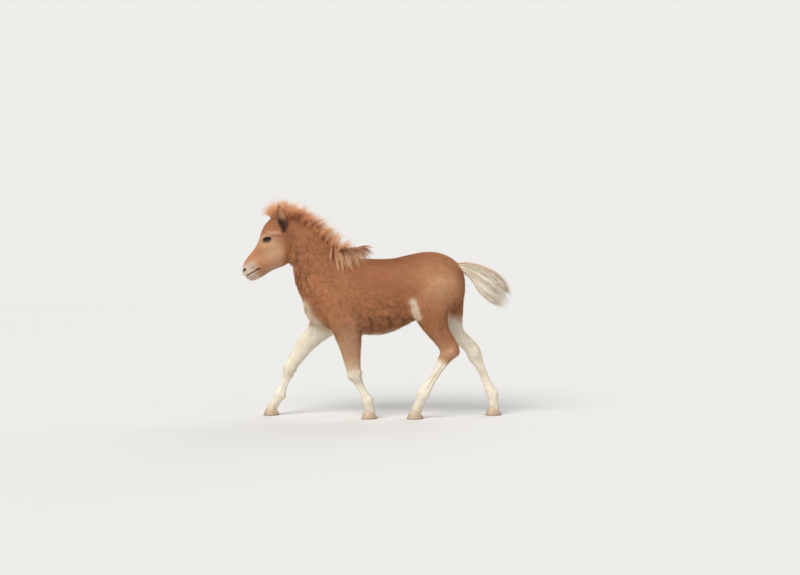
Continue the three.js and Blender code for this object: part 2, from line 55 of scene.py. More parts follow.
# Sizes of the drawing, in millimetres. It shares its scale with the frame and is slid to the frame's origin.
EYE = np.array([-478.0, 44.0, 729.0])  # centre of the right eye
eye_low, eye_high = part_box("eye_right")
SLIDE = np.array(eye_low + eye_high) / 2 / MM - EYE
EYE_RADIUS = (eye_high.x - eye_low.x) / 2 / MM

NOSTRIL = np.array([-571.0, 27.0, 603.0])
LID_LENGTH, UPPER_LID, LOWER_LID = 13, 6.8, 7  # half length of the eye's opening and its two heights
HOOF_HEIGHT = 28
FOREARM = 205  # elbow to knee
FORE_CANNON = 112
GASKIN = 198  # stifle to hock
HIND_CANNON = 192
MOUTH_LINE = [(-600, 572), (-586, 575), (-568, 577), (-550, 586), (-530, 597), (-514, 608)]


def srgb(red, green, blue):
    """A colour given from 0 to 255, as the light it stands for."""
    parts = np.array([red, green, blue]) / 255
    return np.where(parts <= 0.04045, parts / 12.92, ((parts + 0.055) / 1.055) ** 2.4)


CHESTNUT = srgb(186, 120, 80)
GOLDEN = srgb(208, 146, 100)
RUSSET = srgb(146, 86, 52)
ORANGE = srgb(194, 134, 92)
SANDY = srgb(216, 174, 136)
CREAM = srgb(232, 210, 182)
WHITE = srgb(252, 243, 224)
PALE_SKIN = srgb(206, 180, 164)
# Dark skin of the lids' margins and the muzzle's smudges, and also painted shade in the lips' gap, the
# mouth's corner and the nostrils.
DARK_SKIN_AND_SHADE = srgb(52, 36, 30)
# Dark hair of the ears' rims, and also painted shade deep in each ear's cup and on the head under it.
EAR_DARK = srgb(64, 36, 24)


# Shapes from numbers


def station(ax, az, bx, bz, y, half, taper=0, squareness=2.2):
    """A loft's ring, from its two ends in the side view, its middle's Y and its half width.

    The taper is how much wider it is at the first end. A squareness of 2 is an ellipse.
    """
    return [ax, az, bx, bz, y, half, taper, squareness]


def band_faces(rows, sides):
    """Quads between rows of points, each of which runs round."""
    faces = []
    for i in range(rows - 1):
        for k in range(sides):
            a, b = i * sides + k, i * sides + (k + 1) % sides
            faces.append((a, b, b + sides, a + sides))
    return faces


def closed_faces(rows, sides, flipped=False):
    """The quads of a band, with a fan at each end to one of the last two points."""
    faces = band_faces(rows, sides)
    first, last, low = rows * sides, rows * sides + 1, (rows - 1) * sides
    for k in range(sides):
        after = (k + 1) % sides
        faces.append((first, after, k))
        faces.append((last, low + k, low + after))
    return [(face[0], *face[:0:-1]) for face in faces] if flipped else faces


class Loft:
    """Rings of a rounded outline on a Catmull-Rom curve through the given stations."""

    def __init__(self, stations):
        self.stations = np.array(stations, float)

    def at(self, t):
        last = len(self.stations) - 1
        place = np.clip(t, 0, 1) * last
        i = np.minimum(place.astype(int), last - 1)
        f = (place - i)[..., None]
        p, q, r, s = (self.stations[np.clip(i + k, 0, last)] for k in (-1, 0, 1, 2))
        linear = (r - p) * f
        square = (2 * p - 5 * q + 4 * r - s) * f**2
        cube = (3 * q - p - 3 * r + s) * f**3
        return q + (linear + square + cube) / 2

    def point(self, t, angle, grow=0.0):
        """The point at t along and an angle round, where a quarter turn from the first end is towards +Y."""
        t, angle = np.broadcast_arrays(np.asarray(t, float), np.asarray(angle, float))
        ax, az, bx, bz, y, half, taper, squareness = np.moveaxis(self.at(t), -1, 0)
        u = np.sign(np.cos(angle)) * np.abs(np.cos(angle)) ** (2 / squareness)
        v = np.sign(np.sin(angle)) * np.abs(np.sin(angle)) ** (2 / squareness)
        depth = np.hypot(ax - bx, az - bz) / 2
        reach = u * (depth + grow) / depth
        x = (ax + bx + (ax - bx) * reach) / 2
        z = (az + bz + (az - bz) * reach) / 2
        return np.stack([x, y + (half + grow) * (1 + taper * u) * v, z], -1)

    def mesh(self, sides=48, per_span=6, grow=0.0):
        """A closed skin round the loft, as points and faces."""
        rings = (len(self.stations) - 1) * per_span
        t = np.linspace(0, 1, rings + 1)[:, None]
        angle = np.arange(sides) / sides * 2 * np.pi
        points = self.point(t, angle, grow).reshape(-1, 3)
        first, last = points[:sides].mean(0), points[-sides:].mean(0)
        points = np.vstack([points, first, last])
        return points, closed_faces(rings + 1, sides)


def object_from(name, points, faces):
    """An object from points in the drawing's millimetres."""
    mesh = bpy.data.meshes.new(name)
    mesh.from_pydata(((points + SLIDE) * MM).tolist(), [], faces)
    made = bpy.data.objects.new(name, mesh)
    bpy.context.scene.collection.objects.link(made)
    mesh.polygons.foreach_set("use_smooth", [True] * len(mesh.polygons))
    return made


def turn_outwards(made):
    """Turns the faces of a closed piece outwards."""
    shape = bmesh.new()
    shape.from_mesh(made.data)
    bmesh.ops.recalc_face_normals(shape, faces=shape.faces)
    shape.to_mesh(made.data)
    shape.free()


def points_of(mesh):
    """A mesh's points in the drawing's millimetres."""
    flat = np.empty(len(mesh.vertices) * 3, np.float32)
    mesh.vertices.foreach_get("co", flat)
    return flat.reshape(-1, 3).astype(float) / MM - SLIDE


def set_points(mesh, points):
    mesh.vertices.foreach_set("co", ((points + SLIDE) * MM).astype(np.float32).ravel())
    mesh.update()


def set_colours(mesh, colours):
    layer = mesh.color_attributes.new("tint", "FLOAT_COLOR", "POINT")
    full = np.ones((len(colours), 4), np.float32)
    full[:, :3] = colours
    layer.data.foreach_set("color", full.ravel())


def unit(vectors):
    return vectors / np.maximum(np.linalg.norm(vectors, axis=-1, keepdims=True), 1e-9)


def along_surface(directions, normals, share=1.0):
    """Directions with a share of what points off the surface taken out."""
    return unit(directions - normals * (directions * normals).sum(1)[:, None] * share)


def either_way(random, *shape):
    """Random numbers from -0.5 to 0.5."""
    return random.random(shape) - 0.5


def smoothstep(low, high, values):
    f = np.clip((values - low) / (high - low), 0, 1)
    return f * f * (3 - 2 * f)


def mixed(first, second, share):
    """A blend of two colours, or arrays of them, by a share for each point."""
    share = np.asarray(share)[..., None]
    return first * (1 - share) + second * share


def solid_ellipsoid(centre, radii, turn_y=0.0, turn_z=0.0):
    """A closed ball, stretched and turned about its middle."""
    sides = 28
    theta = np.linspace(0, np.pi, sides // 2 + 1)[1:-1, None]
    phi = np.arange(sides) / sides * 2 * np.pi
    shape = [np.sin(theta) * np.cos(phi), np.sin(theta) * np.sin(phi), np.cos(theta) + 0 * phi]
    points = np.vstack([np.stack(shape, -1).reshape(-1, 3), [0, 0, 1], [0, 0, -1]]) * radii
    cy, sy, cz, sz = math.cos(turn_y), math.sin(turn_y), math.cos(turn_z), math.sin(turn_z)
    about_y = np.array([[cy, 0, sy], [0, 1, 0], [-sy, 0, cy]])
    about_z = np.array([[cz, -sz, 0], [sz, cz, 0], [0, 0, 1]])
    return points @ (about_z @ about_y).T + centre, closed_faces(len(theta), sides, flipped=True)


def areas_of(points, triangles):
    """The area of each triangle."""
    a, b, c = (points[triangles[:, k]] for k in range(3))
    return np.linalg.norm(np.cross(b - a, c - a), axis=1) / 2


def scattered(random, points, normals, triangles, weight, count):
    """Places picked over a surface, with the corners of their triangles and each corner's share."""
    reach = np.cumsum(weight)
    pick = (np.arange(count) + random.random(count)) / count * reach[-1]
    face = np.minimum(np.searchsorted(reach, pick), len(weight) - 1)
    u, v = random.random((2, count))
    turned = u + v > 1
    u, v = np.where(turned, 1 - u, u), np.where(turned, 1 - v, v)
    shares = np.stack([1 - u - v, u, v], -1)[..., None]
    corners = triangles[face]
    return (points[corners] * shares).sum(1), unit((normals[corners] * shares).sum(1)), corners, shares


def triangles_of(mesh):
    mesh.calc_loop_triangles()
    corners = np.empty(len(mesh.loop_triangles) * 3, np.int32)
    mesh.loop_triangles.foreach_get("vertices", corners)
    return corners.reshape(-1, 3)


# The flesh

torso = Loft([
    station(-338, 492, -336, 470, 0, 14),
    station(-324, 540, -326, 425, 0, 56),
    station(-291, 590, -291, 376, 0, 80),
    station(-242, 624, -242, 354, 0, 92, -0.05),
    station(-180, 648, -180, 346, 0, 97, -0.08),
    station(-111, 656, -111, 343, 0, 101, -0.1),
    station(-41, 653, -41, 346, 0, 105, -0.08),
    station(29, 655, 29, 360, 0, 106, -0.03),
    station(90, 668, 90, 381, 0, 101),
    station(150, 680, 148, 408, 0, 96, 0.03),
    station(201, 681, 201, 436, 0, 93, 0.03),
    station(250, 668, 250, 458, 0, 86),
    station(290, 643, 291, 470, 0, 74, -0.05),
    station(319, 603, 320, 485, 0, 52, -0.1),
    station(331, 566, 332, 512, 0, 20, -0.1),
])
neck = Loft([
    station(-420, 812, -396, 690, 0, 34),
    station(-396, 826, -381, 652, 0, 45, -0.08),
    station(-362, 824, -379, 612, 0, 49, -0.14),
    station(-314, 796, -371, 562, 0, 54, -0.2),
    station(-266, 757, -353, 513, 0, 61, -0.26),
    station(-217, 712, -336, 468, 0, 71, -0.3),
    station(-160, 674, -316, 412, 0, 80, -0.3),
    station(-94, 650, -262, 372, 0, 84, -0.3),
    station(-40, 630, -180, 372, 0, 70, -0.3),
])
head = Loft([
    station(-392, 806, -362, 712, 0, 34),
    station(-408, 828, -369, 684, 0, 46),
    station(-437, 832, -374, 656, 0, 52, 0.04, 2.3),
    station(-469, 815, -389, 634, 0, 57, 0.12, 2.4),
    station(-494, 787, -411, 619, 0, 59, 0.2, 2.5),
    station(-508, 756, -435, 610, 0, 56, 0.26, 2.5),
    station(-517, 727, -458, 600, 0, 50, 0.22, 2.4),
    station(-530, 701, -478, 589, 0, 43, 0.16, 2.3),
    station(-546, 679, -495, 578, 0, 38, 0.06, 2.2),
    station(-563, 658, -511, 569, 0, 35, 0.02, 2.2),
    station(-576, 638, -529, 562, 0, 35, 0.04, 2.2),
    station(-584, 617, -546, 560, 0, 33, 0.08, 2.2),
    station(-586, 600, -561, 566, 0, 27, 0.1, 2.1),
    station(-581, 585, -570, 573, 0, 12, 0, 2),
])

# Half depths ahead of and behind the bones, and half widths, by place along a leg, where 0 is the elbow or
# the stifle, 1 the knee or the hock, 2 the fetlock and 3 the coronet.
FORE_SECTIONS = [
    (0.2, 58, 57, 38),
    (0.42, 48, 49, 32),
    (0.65, 41, 40, 28),
    (0.87, 35, 34, 27),
    (1.0, 33, 34, 28),
    (1.12, 28, 31, 25),
    (1.3, 20, 24, 19),
    (1.5, 18, 22, 17),
    (1.75, 20, 24, 18),
    (1.97, 24, 31, 22),
    (2.35, 21, 26, 19),
    (2.7, 23, 25, 20),
    (3.0, 25, 27, 22),
]
HIND_SECTIONS = [
    (0.25, 42, 90, 43),
    (0.5, 34, 58, 35),
    (0.72, 28, 54, 29),
    (0.88, 28, 55, 26),
    (1.0, 38, 46, 27),
    (1.1, 36, 35, 25),
    (1.22, 27, 27, 21),
    (1.45, 20, 23, 18),
    (1.75, 21, 25, 18),
    (1.97, 27, 33, 23),
    (2.35, 23, 28, 20),
    (2.7, 24, 26, 21),
    (3.0, 26, 28, 23),
]


def swing(start, length, degrees, y):
    """The point at a length from another, at an angle behind straight down."""
    angle = math.radians(degrees)
    return np.array([start[0] + length * math.sin(angle), y, start[2] - length * math.cos(angle)])


def limb(joints, sections):
    """The stations down a leg, each square to its bone and turned halfway to the next bone at a joint."""
    joints = np.array(joints)
    bones = list(unit(np.diff(joints[:, [0, 2]], axis=0))) + [np.array([0.0, -1.0])]
    blend = 0.3
    stations = []
    for place, front, back, half in sections:
        i = min(int(place), len(joints) - 2)
        f = place - i
        x, y, z = joints[i] + (joints[i + 1] - joints[i]) * f
        down = bones[i]
        if f == 1:
            down = bones[i + 1]
        elif f > 1 - blend:
            down = down + (bones[i + 1] - down) * (f - 1 + blend) / blend * 0.5
        elif f < blend and i > 0:
            down = down + (bones[i - 1] - down) * (1 - f / blend) * 0.5
        dx, dz = unit(down)
        stations.append(station(x + dz * front, z - dx * front, x - dz * back, z + dx * back, y, half))
    return stations


class Leg:
    """A leg from its muscle down to the coronet. The leans are behind straight down."""

    def __init__(self, side, middle, thigh, cannon, leans, fullness, upper, sections):
        thigh_lean, cannon_lean, pastern_lean = leans
        top = swing(middle, -thigh, thigh_lean, middle[1] + side * 8)
        fetlock = swing(middle, cannon, cannon_lean, side * 60)
        drop = (fetlock[2] - HOOF_HEIGHT) * math.tan(math.radians(pastern_lean))
        self.coronet = np.array([fetlock[0] + drop, side * 60, HOOF_HEIGHT])
        self.joints = [top, np.array(middle, float), fetlock, self.coronet]
        filled = [(p, front, back if p > 1 else back * fullness, half) for p, front, back, half in sections]
        self.side = side
        self.foot = sections[-1]
        x, y = self.coronet[:2]
        heel_bulbs = station(x - 20, HOOF_HEIGHT - 3, x + 25, HOOF_HEIGHT - 16, y, 19)
        self.loft = Loft(upper + limb(self.joints, filled) + [heel_bulbs])


legs = {
    "foreleg_left": Leg(LEFT, (-121, -64, 172), FOREARM, FORE_CANNON, (9, 26, 15), 1, [
        station(-240, 570, -130, 570, -38, 18),
        station(-258, 500, -96, 490, -50, 36),
        station(-250, 440, -82, 430, -60, 43),
        station(-228, 386, -78, 380, -66, 43),
    ], FORE_SECTIONS),
    "foreleg_right": Leg(RIGHT, (-398, 64, 187), FOREARM, FORE_CANNON, (-34, -22, -29), 0.8, [
        station(-262, 560, -160, 560, 38, 18),
        station(-284, 490, -140, 470, 50, 36),
        station(-298, 440, -150, 410, 59, 42),
        station(-312, 404, -190, 350, 63, 44),
        station(-334, 354, -256, 300, 66, 40),
    ], FORE_SECTIONS[1:]),
    "hindleg_left": Leg(LEFT, (257, -58, 262), GASKIN, HIND_CANNON, (31, -33, -20), 1.12, [
        station(130, 640, 290, 600, -34, 30),
        station(108, 570, 322, 552, -48, 48),
        station(97, 515, 329, 508, -53, 51),
        station(98, 466, 314, 478, -57, 50),
        station(112, 420, 290, 456, -62, 48),
    ], HIND_SECTIONS),
    "hindleg_right": Leg(RIGHT, (369, 58, 258), GASKIN, HIND_CANNON, (45, 23, 9), 0.75, [
        station(132, 640, 296, 600, 34, 30),
        station(116, 570, 326, 552, 48, 48),
        station(120, 515, 333, 508, 53, 51),
        station(140, 460, 330, 462, 57, 50),
        station(170, 416, 328, 424, 61, 48),
        station(206, 372, 326, 388, 65, 44),
    ], HIND_SECTIONS[1:]),
}
lofts = {"torso": torso, "neck": neck, "head": head, **{name: leg.loft for name, leg in legs.items()}}

# The number of each loft, by which every point of the skin knows its own.
ROWS = {name: row for row, name in enumerate(lofts)}
TORSO, NECK, HEAD, FORELEG_LEFT, FORELEG_RIGHT, HINDLEG_LEFT, HINDLEG_RIGHT = ROWS.values()

# Muscles and bones that stand out a little: centre, spread and height, on both sides unless the Y is 0.
SWELLINGS = [
    ((-196, 84, 520), (60, 40, 70), 7),  # shoulder
    ((-150, 88, 440), (60, 40, 50), 5),  # upper arm
    ((-250, 0, 420), (30, 60, 50), 6),  # breast
    ((160, 90, 560), (80, 50, 60), 6),  # hip
    ((120, 90, 452), (40, 40, 40), 6),  # stifle
    ((250, 70, 560), (60, 50, 80), 6),  # buttock
    ((-418, 46, 660), (34, 26, 34), 5),  # round of the jaw
    ((-500, 50, 692), (40, 20, 11), 3),  # cheek bone
    ((-470, 50, 757), (22, 22, 8), 3.5),  # brow
    ((-560, 22, 588), (16, 18, 10), 3),  # upper lip
    ((-548, 0, 563), (16, 20, 9), 3),  # chin
]
HOLLOWS = [
    ((70, 96, 450), (30, 40, 60), 7),  # flank
    ((-300, 62, 520), (26, 30, 90), 5),  # between neck and shoulder
    ((-446, 52, 765), (13, 16, 12), 5),  # behind the brow
    ((-522, 38, 658), (34, 24, 18), 3.5),  # between cheek bone and nose
    ((-430, 44, 706), (20, 22, 26), 3),  # behind the eye
    ((-372, 40, 640), (14, 30, 50), 5),  # throat
    ((262, 70, 470), (16, 30, 60), 5),  # between thigh and gaskin
]
LOWER_BELLY = (8, -20, 362, 115, 32)  # height, X and Z of the middle, and the spreads along them

VOXEL = 5.8  # side of a cell of the body's skin
COAT_ROUNDING = 14  # rounds of smoothing, which melt the joins of the lofts


def joined_flesh():
    """All the lofts and lumps in one object, remeshed to one closed skin."""
    solids = [loft.mesh() for loft in lofts.values()]
    for side in (LEFT, RIGHT):
        x, y, z = EYE * (1, side, 1)
        solids.append(solid_ellipsoid((x + 2, y - side * 4, z + 2), (29, 17, 20)))
        x, y, z = NOSTRIL * (1, side, 1)
        solids.append(solid_ellipsoid((x, y - side * 3, z), (12, 9, 15), 0.35, -0.5 * side))
    points, faces, count = [], [], 0
    for solid_points, solid_faces in solids:
        points.append(solid_points)
        faces += [tuple(k + count for k in face) for face in solid_faces]
        count += len(solid_points)
    flesh = object_from("flesh", np.vstack(points), faces)
    remesh = flesh.modifiers.new("whole", "REMESH")
    remesh.mode = "VOXEL"
    remesh.voxel_size = VOXEL * MM
    return flesh


def baked(made, name):
    """The object with its modifiers applied, as a new object, with the old one removed."""
    bpy.context.view_layer.update()
    mesh = bpy.data.meshes.new_from_object(made.evaluated_get(bpy.context.evaluated_depsgraph_get()))
    mesh.name = name
    result = bpy.data.objects.new(name, mesh)
    bpy.context.scene.collection.objects.link(result)
    bpy.data.objects.remove(made)
    return result


class Web:
    """The edges of a mesh, for averages over neighbours."""

    def __init__(self, mesh):
        flat = np.empty(len(mesh.edges) * 2, np.int32)
        mesh.edges.foreach_get("vertices", flat)
        self.a, self.b = flat.reshape(-1, 2).T
        self.count = len(mesh.vertices)
        self.degree = np.bincount(np.concatenate([self.a, self.b]), minlength=self.count)

    def average(self, values):
        total = np.zeros_like(values)
        for k in range(values.shape[1]):
            total[:, k] = np.bincount(self.a, values[self.b, k], self.count)
            total[:, k] += np.bincount(self.b, values[self.a, k], self.count)
        return total / np.maximum(self.degree, 1)[:, None]

    def smooth(self, values, rounds):
        for _ in range(rounds):
            values = values + (self.average(values) - values) / 2
        return values


def normals_of(mesh):
    flat = np.empty(len(mesh.vertices) * 3, np.float32)
    mesh.vertex_normals.foreach_get("vector", flat)
    return flat.reshape(-1, 3).astype(float)


def refined(made, chosen):
    """Cuts in two every edge of the faces whose middle is chosen by a function of points."""
    shape = bmesh.new()
    shape.from_mesh(made.data)
    middles = np.array([face.calc_center_median() for face in shape.faces]) / MM - SLIDE
    keep = chosen(middles)
    edges = {edge for face, wanted in zip(shape.faces, keep) if wanted for edge in face.edges}
    bmesh.ops.subdivide_edges(shape, edges=list(edges), cuts=1, use_grid_fill=True, smooth=0.0)
    bmesh.ops.triangulate(shape, faces=[face for face in shape.faces if len(face.verts) > 4])
    shape.to_mesh(made.data)
    shape.free()


def in_head(points):
    return points[:, 0] < -392 + (points[:, 2] - 700) * 0.1


def in_shins(points):
    return points[:, 2] < 255


def in_muzzle(points):
    near_mouth = (points[:, 0] < -496) & (points[:, 2] < 632)
    near_eye = np.linalg.norm((points * (1, 0, 1) - EYE * (1, 0, 1)) * (0.8, 1, 1), axis=1) < 27
    return near_mouth | (near_eye & (np.abs(points[:, 1]) > 30))


def falloff(points, centre, spread):
    """1 at a centre, fading out over a spread."""
    gap = (points - np.array(centre, float)) / np.array(spread, float)
    return np.exp(-(gap**2).sum(1))


def patches(points, places):
    """The sum of soft patches of the side view: strength, X and Z of the middle, and both spreads."""
    side_view = points * (1, 0, 1)
    total = np.zeros(len(points))
    for strength, x, z, wide, high in places:
        total += strength * falloff(side_view, (x, 0, z), (wide, 1, high))
    return total


def beside_bone(start, end, share, behind):
    """A place of the side view part of the way along a bone, and some way behind it."""
    start, end = start[[0, 2]], end[[0, 2]]
    down = unit(end - start)
    return start + (end - start) * share + behind * np.array([-down[1], down[0]])


def joint_forms(points, normals, row):
    """The hollow before each tendon, on both faces of a leg, and the knobs of its joints."""
    push = np.zeros(len(points))
    x, _, z = points.T
    for name, leg in legs.items():
        top, knee, fetlock, coronet = leg.joints
        in_leg = row == ROWS[name]
        face = smoothstep(0.2, 0.7, np.abs(normals[:, 1])) * in_leg
        tendon = [beside_bone(knee, fetlock, 0.22, 6), beside_bone(knee, fetlock, 0.84, 7)]
        push -= 2.6 * near_line(x, z, tendon, 4.5) * face
        pastern = [beside_bone(fetlock, coronet, 0.35, 12), beside_bone(fetlock, coronet, 0.75, 14)]
        push -= 2.0 * near_line(x, z, pastern, 5) * face
        if name.startswith("hind"):
            string = [beside_bone(top, knee, 0.5, 26), beside_bone(top, knee, 0.9, 20)]
            push -= 5.5 * near_line(x, z, string, 8) * face
            knobs = [(beside_bone(top, knee, 0.93, 44), 10, 2), (beside_bone(knee, fetlock, 0.04, 0), 15, 3)]
        else:
            knobs = [(beside_bone(top, knee, 0.98, -22), 12, 3.5), (beside_bone(top, knee, 0.93, 26), 9, 4.5)]
        knobs.append((beside_bone(knee, fetlock, 0.97, 24), 10, 3.5))
        knobs.append((beside_bone(knee, fetlock, 0.99, -14), 10, 1.5))
        for place, spread, height in knobs:
            far = ((x - place[0]) ** 2 + (z - place[1]) ** 2) / spread**2
            push += height * np.exp(-far) * in_leg
    return push


def sculpted(points, normals, row):
    """Muscles, hollows, mouth and nostrils, pushed out of and into the skin."""
    push = np.zeros(len(points))
    for forms, sign in ((SWELLINGS, 1), (HOLLOWS, -1)):
        for centre, spread, height in forms:
            sides = (LEFT, RIGHT) if centre[1] else (RIGHT,)
            for side in sides:
                push += sign * height * falloff(points, np.array(centre) * (1, side, 1), spread)
    push += joint_forms(points, normals, row)
    push += patches(points, [LOWER_BELLY]) * (row == TORSO)
    for side in (LEFT, RIGHT):
        push -= 15 * socket(points, side) + 9 * ear_base(points, side)
    gap = mouth_gap(points)
    lips = 1.8 * np.exp(-(((gap - 7) / 4) ** 2)) - 5.5 * np.exp(-((gap / 2.2) ** 2))
    push += lips * mouth_reach(points) * (row == HEAD)
    for side in (LEFT, RIGHT):
        push -= 9 * nostril_mask(points, side)
    return points + normals * push[:, None]


def distance_to_line(x, z, line):
    """Distance in the side view from each point to a chain of points."""
    best = np.full(len(x), 1e9)
    for (x1, z1), (x2, z2) in zip(line, line[1:]):
        dx, dz = x2 - x1, z2 - z1
        f = np.clip(((x - x1) * dx + (z - z1) * dz) / (dx * dx + dz * dz), 0, 1)
        best = np.minimum(best, np.hypot(x - x1 - f * dx, z - z1 - f * dz))
    return best


def near_line(x, z, line, width):
    """1 on a chain of points of the side view, fading out over a width beside it."""
    return np.exp(-((distance_to_line(x, z, line) / width) ** 2))


def mouth_gap(points):
    return distance_to_line(points[:, 0], points[:, 2], MOUTH_LINE)


def mouth_reach(points):
    """1 along the lips and nothing behind their corner."""
    return smoothstep(-500, -508, points[:, 0])


def socket(points, side):
    """1 in the hole that an eye looks out of."""
    gap = (points - EYE * (1, side, 1))[:, [0, 2]] @ np.array([[1, -0.16], [0, 1]]) / (LID_LENGTH, LOWER_LID)
    return smoothstep(1.5, 1.15, np.linalg.norm(gap, axis=1)) * (points[:, 1] * side > 20)


def nostril_mask(points, side):
    """A comma-shaped opening: 1 in the nostril, fading out at its rim."""
    x, y, z = (points - NOSTRIL * (1, side, 1)).T
    turned_x, turned_z = x * 0.86 - z * 0.5, x * 0.5 + z * 0.86
    bend = turned_x + 0.05 * turned_z**2
    far = (bend / 4.6) ** 2 + (turned_z / 8.5) ** 2 + (y / 14) ** 2
    return np.exp(-(far**2)) * (points[:, 1] * side > 4)


# The skin and what grows from each of its places

# Rounds of smoothing: of the head before and after it is refined, and of the coat's lengths and lie.
HEAD_ROUNDING = 4
FINE_HEAD_ROUNDING = 3
LENGTH_ROUNDING = 12
FLOW_ROUNDING = 30

DEPTH_SHARE = 0.34  # how far the coat stands off the skin, by its length
COAT_TUFTS = 174000
COAT_SOFTNESS, LONG_HAIR_SOFTNESS = 0.65, 0.42  # how far a tuft's shading leans to the way it faces
TRIANGLES_A_PIECE = 180000
CLUMP_TUFTS = 48  # in a woolly clump
LIFT_DEGREES = 24  # how far the tufts of the coat stand up
UNWRAP_PATCH = 0.003  # side of the square of the unwrap that a tuft has round its root
OUTSIDE = 150  # a Y beyond either flank

# Lines of the side view along which the colour changes.
FOREHEAD = [(-494, 770), (-470, 806), (-440, 824)]
# The brow carries a pale stripe, partly painted highlight on its fold; the lid crease and the line under the
# jaw carry painted shade.
BROW = [(-468, 755), (-448, 753), (-430, 755)]
LID_CREASE = [(-462, 738), (-446, 743), (-426, 745)]
JAW = [(-560, 565), (-511, 566), (-458, 598), (-425, 612)]
UNDER_JAW = [(-500, 584), (-462, 606), (-430, 618)]
FLANK = [(110, 476), (118, 444), (132, 416)]
BREAST = [(-334, 474), (-304, 416), (-264, 362)]

# Patches of the side view: strength, X and Z of the middle, and the spreads along them.
WOOLLY_PATCHES = [
    (1.1, -10, 400, 165, 90),  # lower barrel
    (1, -335, 480, 60, 110),  # breast
    (0.8, -365, 610, 40, 80),  # throat
    (0.6, -290, 700, 110, 110),  # neck
    (0.5, 268, 480, 40, 40),  # back of the thigh
    (0.35, -190, 520, 70, 90),  # shoulder
]
# Lighter patches on the top of the body: partly the coat's own golden hair and partly painted highlight where
# the light falls from above.
GOLDEN_AND_HIGHLIGHT_PATCHES = [
    (1.1, 205, 580, 120, 100),  # hip
    (0.6, -190, 520, 70, 90),  # shoulder
    (0.55, -290, 790, 90, 60),  # crest
    (0.5, -150, 680, 80, 50),  # withers
]
# Darker patches, partly the coat's own russet and partly painted shade, as under the belly and at the back of
# the thigh.
RUSSET_AND_SHADE_PATCHES = [
    (1.5, -20, 380, 150, 48),  # belly, painted shade under the barrel
    (1, -352, 560, 26, 100),  # front of the neck
    (0.8, -405, 770, 26, 34),  # below the ear
    (0.5, -372, 700, 24, 60),  # behind the jaw
    (1, 286, 474, 44, 30),  # back of the thigh, painted shade under the buttock
    (0.5, -235, 585, 40, 60),  # before the shoulder
    (1.2, 0, 656, 180, 34),  # back
    (0.3, 196, 400, 30, 50),  # front of the thigh
]
TAN_QUARTER = (0.55, 225, 540, 75, 70)
TAN_FOREARM = (0.9, -140, 288, 75, 100)
TAN_HOCK = (0.7, 262, 262, 50, 44)
TAN_GASKIN = (0.2, 215, 330, 50, 60)
NOSE = (1, -528, 690, 40, 60)
CHEEK = (1, -452, 672, 52, 52)
EYE_RING = (1, EYE[0], EYE[2], 32, 24)
SMUDGES = [(1, -537, 614, 8, 5), (0.5, -592, 596, 10, 12)]
# The mouth's corner is painted dark, as painted shade.
MOUTH_CORNER = (1, -515, 607, 8, 5.5)
BELLY_EDGE = (0.8, -20, 350, 125, 26)  # where the tufts stand up more

EAR_CUP = np.array([-414.0, 38.0, 780.0])  # middle of the right ear's foot
HAIR_LINE = 25.5  # height above the sole where the coat ends
HAIR_LINE_SLOPE = 0.23  # how steeply that line falls to the heel


class Chart:
    """Where each loft's places lie on the flat unwrap of the whole skin, and which way its hair runs."""

    def __init__(self):
        places, along, lengthwise, angles, rows = [], [], [], [], []
        for name, loft in lofts.items():
            t = np.linspace(0.01, 0.99, 12 * len(loft.stations))[:, None]
            angle = np.arange(40) / 40 * 2 * np.pi
            here = loft.point(t, angle)
            ahead = loft.point(t + 0.01, angle)
            places.append(here.reshape(-1, 3))
            along.append(unit(ahead - here).reshape(-1, 3))
            t, angle = np.broadcast_arrays(t, angle)
            lengthwise.append(t.ravel())
            angles.append(angle.ravel())
            rows.append(np.full(t.size, ROWS[name]))
        self.along = np.vstack(along)
        self.t, self.angle, self.row = (np.concatenate(parts) for parts in (lengthwise, angles, rows))
        self.tree = tree_of(np.vstack(places))

    def find(self, points):
        return nearest(self.tree, points)

    def unwrap(self, points):
        """A band of the unit square for each loft, with the way round across it."""
        found = self.find(points)
        across = self.row[found] + 0.05 + 0.9 * self.angle[found] / (2 * np.pi)
        return np.stack([0.01 + 0.98 * self.t[found], across * (1 / len(ROWS))], -1)


def tree_of(points):
    tree = KDTree(len(points))
    for i, p in enumerate(points.tolist()):
        tree.insert(p, i)
    tree.balance()
    return tree


def nearest(tree, points):
    return np.array([tree.find(p)[1] for p in points.tolist()])


class Mottle:
    """Smooth random patches of about a given size, the same on skin and coat."""

    CELLS = 24

    def __init__(self, seed, size):
        self.grid = np.random.default_rng(seed).random((self.CELLS, self.CELLS, self.CELLS))
        self.size = size

    def __call__(self, points):
        place = points / self.size + 50
        cell = np.floor(place).astype(int)
        f = place - cell
        f = f * f * (3 - 2 * f)
        total = 0
        for dx in (0, 1):
            for dy in (0, 1):
                for dz in (0, 1):
                    weight = np.abs(1 - dx - f[:, 0]) * np.abs(1 - dy - f[:, 1]) * np.abs(1 - dz - f[:, 2])
                    x, y, z = ((cell + (dx, dy, dz)) % self.CELLS).T
                    total = total + weight * self.grid[x, y, z]
        return total * 2 - 1


broad = Mottle(1, 60)
medium = Mottle(2, 22)
fine = Mottle(3, 9)


def along_line(points, x1, z1, x2, z2, soft):
    """0 on the left of a line of the side view, from its first point to its second, and 1 on its right."""
    dx, dz = x2 - x1, z2 - z1
    off = ((points[:, 0] - x1) * dz - (points[:, 2] - z1) * dx) / math.hypot(dx, dz)
    return smoothstep(-soft, soft, off)


